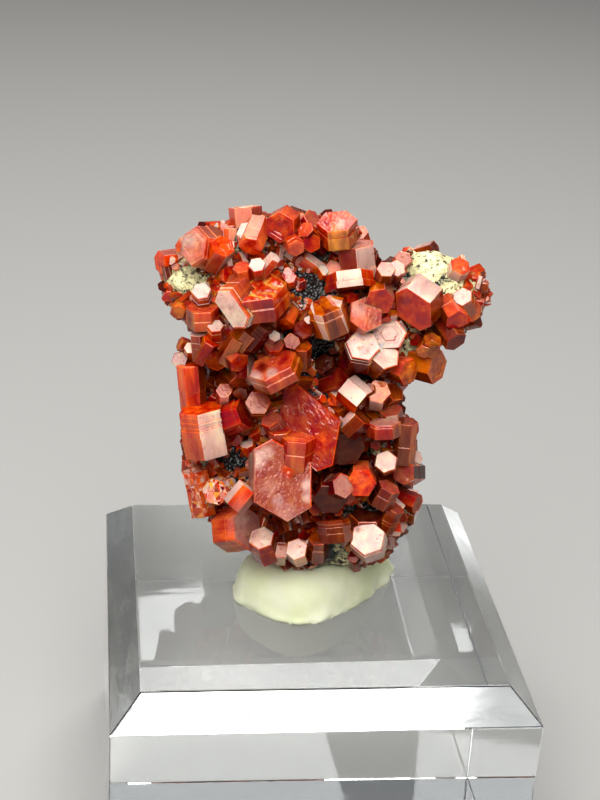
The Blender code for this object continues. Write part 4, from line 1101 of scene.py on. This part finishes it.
def paint(bm, placed, look, length, dice, shown):
    """Give each face its tone and each vertex its place inside the crystal."""
    grain = bm.verts.layers.float_vector.new("grain")
    body = bm.loops.layers.float_color.new("body")
    rim_layer = bm.faces.layers.int.get("rim")
    ripple = bm.verts.layers.float.get("ripple")
    tones = [letter for letter in look if letter.isupper()]
    habit = look[len(tones):]
    offset = Vector((0.0, 0.0, dice.uniform(-90.0, 90.0)))
    for vertex in bm.verts:
        vertex[grain] = vertex.co / MM + offset
    bm.normal_update()
    bright = dice.uniform(0.88, 1.12)
    small = 0.02 * length ** 2
    widest = max(vertex.co.x for vertex in bm.verts)
    for face in bm.faces:
        upright = face.normal.z
        letter = tones[0] if upright > 0.75 else tones[1 + side_of(face.normal) % (len(tones) - 1)]
        if "b" in habit:
            place = face.calc_center_median().x / (1.1 * widest)
            letter = GLASS_BANDS[int((0.5 - 0.5 * place) * len(GLASS_BANDS))]
        # painted glints: in a mosaic each facet takes a random tone, and the white and pearl ones
        # stand for glints
        if "m" in habit:
            letter = dice.choice(tones + list("TSWOYPT"))
        dark = letter in DARK
        face.material_index = 1 if dark else 0
        hex_colour, frost = TONES[letter]
        colour = linear(hex_colour)[:3]
        spread = 0.28 if "f" in habit else 0.10 if face.calc_area() > small else 0.06
        shade = bright * dice.uniform(1.0 - spread, 1.0 + spread)
        # painted glow: marked rim faces take the orange tone that light through the thin edge
        # gives
        if rim_layer is not None and face[rim_layer] and not dark:
            colour, frost = linear(TONES["O"][0])[:3], 0.12
        # painted glow and highlight: faces leaning between end and sides take half of an orange
        # glow; narrow rounds between sides take a pale painted highlight on pale tones, the orange
        # glow on others
        if 0.25 < upright < 0.75 and not dark:
            colour, frost = blend(colour, PAINTED_EDGE_GLOW, 0.5), 0.05
        elif upright < 0.25 and is_edge_round(face):
            colour = blend(colour, PAINTED_EDGE_HIGHLIGHT if letter in "WPTLM" else PAINTED_EDGE_GLOW, 0.4)
        for loop in face.loops:
            tint, rime = colour, frost
            # painted highlight along the crests of the shell-like break
            if ripple is not None and upright > 0.3:
                tint = blend(tint, PAINTED_CREST_HIGHLIGHT, loop.vert[ripple])
            # stains, and painted glints where a patch is pale
            if shown and not dark:
                tint, rime = stained_and_glinting(tint, rime, read_point(placed @ loop.vert.co))
            # painted shade: each crystal grows darker towards its foot, to 60 per cent there
            deep = 1.0 - 0.4 * min(1.0, -loop.vert.co.z / length)
            loop[body] = (*(value * shade * deep for value in tint), rime)


def add_crystal(target, bm, placed, look, length, dice, shown):
    """Paint a grown crystal, set it in place and add it to the target bmesh."""
    paint(bm, placed, look, length, dice, shown)
    bmesh.ops.transform(bm, matrix=placed, verts=bm.verts)
    mesh = bpy.data.meshes.new("one_crystal")
    bm.to_mesh(mesh)
    bm.free()
    target.from_mesh(mesh)
    bpy.data.meshes.remove(mesh)


print("the tones", DARK, "take the dark finish")

# %% The measured crystals, grown again in detail
slot_of = {part["node"]: part["material_slot"] for part in frame["record"]["subparts"]}
dark_finish = CRYSTAL_FINISHES["dark_crystal"]
crystals = []
grown = []
for name, rows in (CRYSTAL_ROWS | BACK_ROWS).items():
    shown = name in CRYSTAL_ROWS
    dice = random.Random(name)
    bm = bmesh.new()
    for row in rows:
        crystal = Crystal(*row) if shown else BackCrystal(*row)
        placed = show_frame(crystal) if shown else back_frame(crystal)
        distances = [side * crystal.wide * MM / 2.0 for side in crystal.sides]
        length = crystal.long * MM
        one = grow(distances, length, crystal.look, dice)
        add_crystal(bm, one, placed, crystal.look, length, dice, shown)
        grown.append((placed.inverted(), distances, length))
    slot = slot_of[name]
    finishes = [CRYSTAL_FINISHES[slot], dark_finish]
    crystals.append(finished_piece(name + "_grown", bm, finishes, slot, name))
print(len(crystals), "pieces with", len(grown), "crystals and",
      sum(len(piece.data.polygons) for piece in crystals), "faces")

# %% [markdown]
# ## Druse
#
# Between the large crystals the rock is crusted with about four thousand small ones, a
# druse. They could be instances, but each must be its own small mesh here, so each is a
# plain prism of some twenty faces, and they are shared out by tone among four pieces. A
# seeded draw scatters them over the rock, square to its surface give or take. A place is
# left out where a large crystal stands or would be hidden, where the bare matrix shows,
# near the putty, and where an earlier one already has the room.

# %% Room for the druse
centres = [(inverse.inverted() @ Vector((0.0, 0.0, -0.5 * length)),
            0.5 * length + max(distances) * 1.2) for inverse, distances, length in grown]


def inside_a_crystal(point, margin):
    """Whether a point lies in one of the large crystals or closer than the margin."""
    for (inverse, distances, length), (centre, reach) in zip(grown, centres):
        if (point - centre).length > reach + margin:
            continue
        local = inverse @ point
        if not -length - margin < local.z < margin:
            continue
        if all(local.x * math.cos(math.radians(60 * i + 30))
               + local.y * math.sin(math.radians(60 * i + 30)) < distance + margin
               for i, distance in enumerate(distances)):
            return True
    return False


# across, up and reach of the places where the matrix stays bare
BARE_PATCHES = ((12.9, 12.4, 2.6), (10.3, 11.8, 1.7), (11.5, 9.2, 1.3), (-12.0, 9.5, 1.2),
                (0.3, 3.6, 1.5), (-0.2, 8.8, 1.2), (3.3, 9.3, 0.9), (-7.2, -7.0, 1.1),
                (5.1, -6.0, 0.7), (8.8, 5.4, 0.8), (1.8, -15.9, 1.8))
HIDING_DEPTH = 6.0 * MM
large = bmesh.new()
for piece in crystals:
    large.from_mesh(piece.data)
large_tree = BVHTree.FromBMesh(large)
large.from_mesh(rock.data)
whole_tree = BVHTree.FromBMesh(large)
large.free()


def kept_bare(point, normal):
    """Whether the matrix shows at a point of the rock."""
    if normal.dot((EYE - point).normalized()) < -0.4:
        return False
    across, up, out = read_point(point)
    return any((across - a) ** 2 + (up - u) ** 2 < r ** 2 for a, u, r in BARE_PATCHES)


def hides_a_crystal(point):
    """Whether a large crystal is close behind a point, as the show face is seen."""
    hit = large_tree.ray_cast(point, (point - EYE).normalized(), HIDING_DEPTH)
    return hit[0] is not None


def widens_the_outline(point):
    """Whether a point is seen beside the cluster and not against it."""
    return whole_tree.ray_cast(EYE, (point - EYE).normalized(), 2.0 * SHOW_DISTANCE)[0] is None


print("bare patches", len(BARE_PATCHES))

# %% Scattering the druse
# widths in mm, height as parts of the width, share kept per square mm, room between them
DRUSE_PASSES = ((1.0, 1.7, 0.6, 1.0, 1.5, 1.15), (0.55, 1.0, 0.4, 0.9, 3.6, 0.72),
                (0.32, 0.55, 0.3, 0.8, 4.0, 0.5))
OUTER_LOOKS = ("RORS RRO OOSA SRPO OROM KRPR SOPS BKMB MRPM BAB ABPA "
               "AOAS OAB RBK BBPB AABP QRMQ KKR PORS LMBM").split()
# pale looks for druse on the crown, which the light from above brightens: painted light
LIT_CROWN_LOOKS = "PORS TSOT LTSM WTPS TOPS PTWS".split()
# near-black looks for druse deep in the cluster: painted shade
DEEP_SHADE_LOOKS = "KKD KDK DDK BKB KRK BBK MKD DKM RBK MDK BMK".split()
LOWEST_DRUSE = 30.6 * MM    # above the putty's top
DRUSE_ROOT = 0.7 * MM       # how far a small crystal reaches into the rock
DRUSE_TONES = {"red_orange_crystal": "ROSQ", "amber_crystal": "AB", "mauve_crystal": "PLMT",
               "dark_crystal": "KD"}
dice = random.Random(1838)
surface_mesh = rock.data
surface_mesh.calc_loop_triangles()
triangles = list(surface_mesh.loop_triangles)
running = list(accumulate(triangle.area for triangle in triangles))
druses = {slot: bmesh.new() for slot in DRUSE_TONES}
slot_of_tone = {tone: slot for slot, tones in DRUSE_TONES.items() for tone in tones}
taken = []
for thin, thick, low, high, share, room in DRUSE_PASSES:
    for _ in range(int(running[-1] / MM ** 2 * share)):
        chosen = triangles[bisect(running, dice.uniform(0.0, running[-1] * 0.99999))]
        a, b, c = (surface_mesh.vertices[i].co for i in chosen.vertices)
        u, v = sorted((dice.random(), dice.random()))
        point = a * u + b * (v - u) + c * (1.0 - v)
        wide = dice.uniform(thin, thick) * MM
        tall = wide * dice.uniform(low, high)
        axis = (chosen.normal + Vector([dice.gauss(0.0, 0.7) for _ in range(3)])).normalized()
        tip = point + axis * tall
        if point.z < LOWEST_DRUSE or kept_bare(point, chosen.normal):
            continue
        if any((point - other).length < (wide + size) * 0.5 * room for other, size in taken):
            continue
        if inside_a_crystal(point, 0.0) or inside_a_crystal(tip, 0.2 * wide):
            continue
        if hides_a_crystal(tip) and dice.random() < 0.9:
            continue
        if widens_the_outline(tip) and (wide > 0.6 * MM or dice.random() < 0.7):
            continue
        across, up, out = read_point(tip)
        shown = chosen.normal.dot((EYE - point).normalized()) > 0.0
        # painted shade: druse deep in the cluster or under the right lobe takes the near-black
        # looks
        deep = shown and (front_height(across, up) - out > 2.2 or across > 9.5 and up < 3.0)
        taken.append((point, wide))
        placed = axis.to_track_quat("Z", "Y").to_matrix().to_4x4()
        placed.translation = tip
        placed = placed @ Matrix.Rotation(dice.uniform(0.0, math.tau), 4, "Z")
        distances = [0.5 * wide * dice.uniform(0.72, 1.2) for _ in range(6)]
        length = tall + DRUSE_ROOT
        one = prism(distances, length)
        if wide > 0.8 * MM and dice.random() < 0.6:
            corner = Vector((math.cos(4.0 * wide / MM), math.sin(4.0 * wide / MM), 0.0))
            chip(one, corner * wide * dice.uniform(0.25, 0.5), corner + Vector((0.0, 0.0, 0.8)))
        soften(one, length, 0.03 * wide)
        # painted light: on the crown, 10.5 mm up and more, two in five take the pale looks
        pale = up > 10.5 and dice.random() < 0.4
        look = dice.choice(DEEP_SHADE_LOOKS if deep else LIT_CROWN_LOOKS if pale else OUTER_LOOKS)
        add_crystal(druses[slot_of_tone[look[1]]], one, placed, look, length, dice, False)
for slot, bm in druses.items():
    finishes = [CRYSTAL_FINISHES[slot], dark_finish]
    piece = finished_piece(slot.replace("crystal", "druse"), bm, finishes, slot)
    triangle_count = sum(len(face.vertices) - 2 for face in piece.data.polygons)
    print(piece.name, size_of(piece), "mm,", triangle_count, "triangles")
print("druse", len(taken), "crystals")

# %% [markdown]
# ## Floor and light
#
# The stand rests on a plain pale table. One large softbox hangs over it, towards the
# viewer, because nearly every white face of the cluster mirrors what is above it. Two weak
# ones light the crown from the back right and the upper left. One bright dome of light
# would be simpler, but the room stays dim, so that the faces that look past the softboxes
# keep their full colour.

# %% Pale table
floor_finish, _ = new_finish("pale_matte_table", {
    "Base Color": linear("A09E9A"), "Roughness": 0.7})
bm = bmesh.new()
bmesh.ops.create_circle(bm, cap_ends=True, segments=96, radius=3.0)
bmesh.ops.translate(bm, vec=(0.0, 0.0, -0.05 * MM), verts=bm.verts)
floor = new_object("pale_table", bm, [floor_finish])
print("table", round(floor.dimensions.x, 1), "m wide")

# %% Softboxes and room
LIT_POINT = Vector((0.0, 0.0, 0.045))


def softbox(name, place, side, watts):
    """Square white lamp that looks at the specimen."""
    data = bpy.data.lights.new(name, "AREA")
    data.shape = "SQUARE"
    data.size = side
    data.energy = watts
    lamp = bpy.data.objects.new(name, data)
    lamp.location = place
    lamp.rotation_euler = (LIT_POINT - Vector(place)).to_track_quat("-Z", "Y").to_euler()
    bpy.context.scene.collection.objects.link(lamp)


softbox("front_softbox", (-0.06, -0.22, 0.37), 0.34, 2.6)
softbox("back_right_softbox", (0.07, 0.22, 0.36), 0.18, 0.7)
softbox("upper_left_softbox", (-0.13, 0.0, 0.40), 0.18, 0.7)
world = bpy.data.worlds.new("dim_room")
world.use_nodes = True
room = world.node_tree.nodes["Background"].inputs
room["Color"].default_value = linear("D8DCE0")
room["Strength"].default_value = 0.24
bpy.context.scene.world = world
bpy.context.scene.view_settings.view_transform = "Standard"
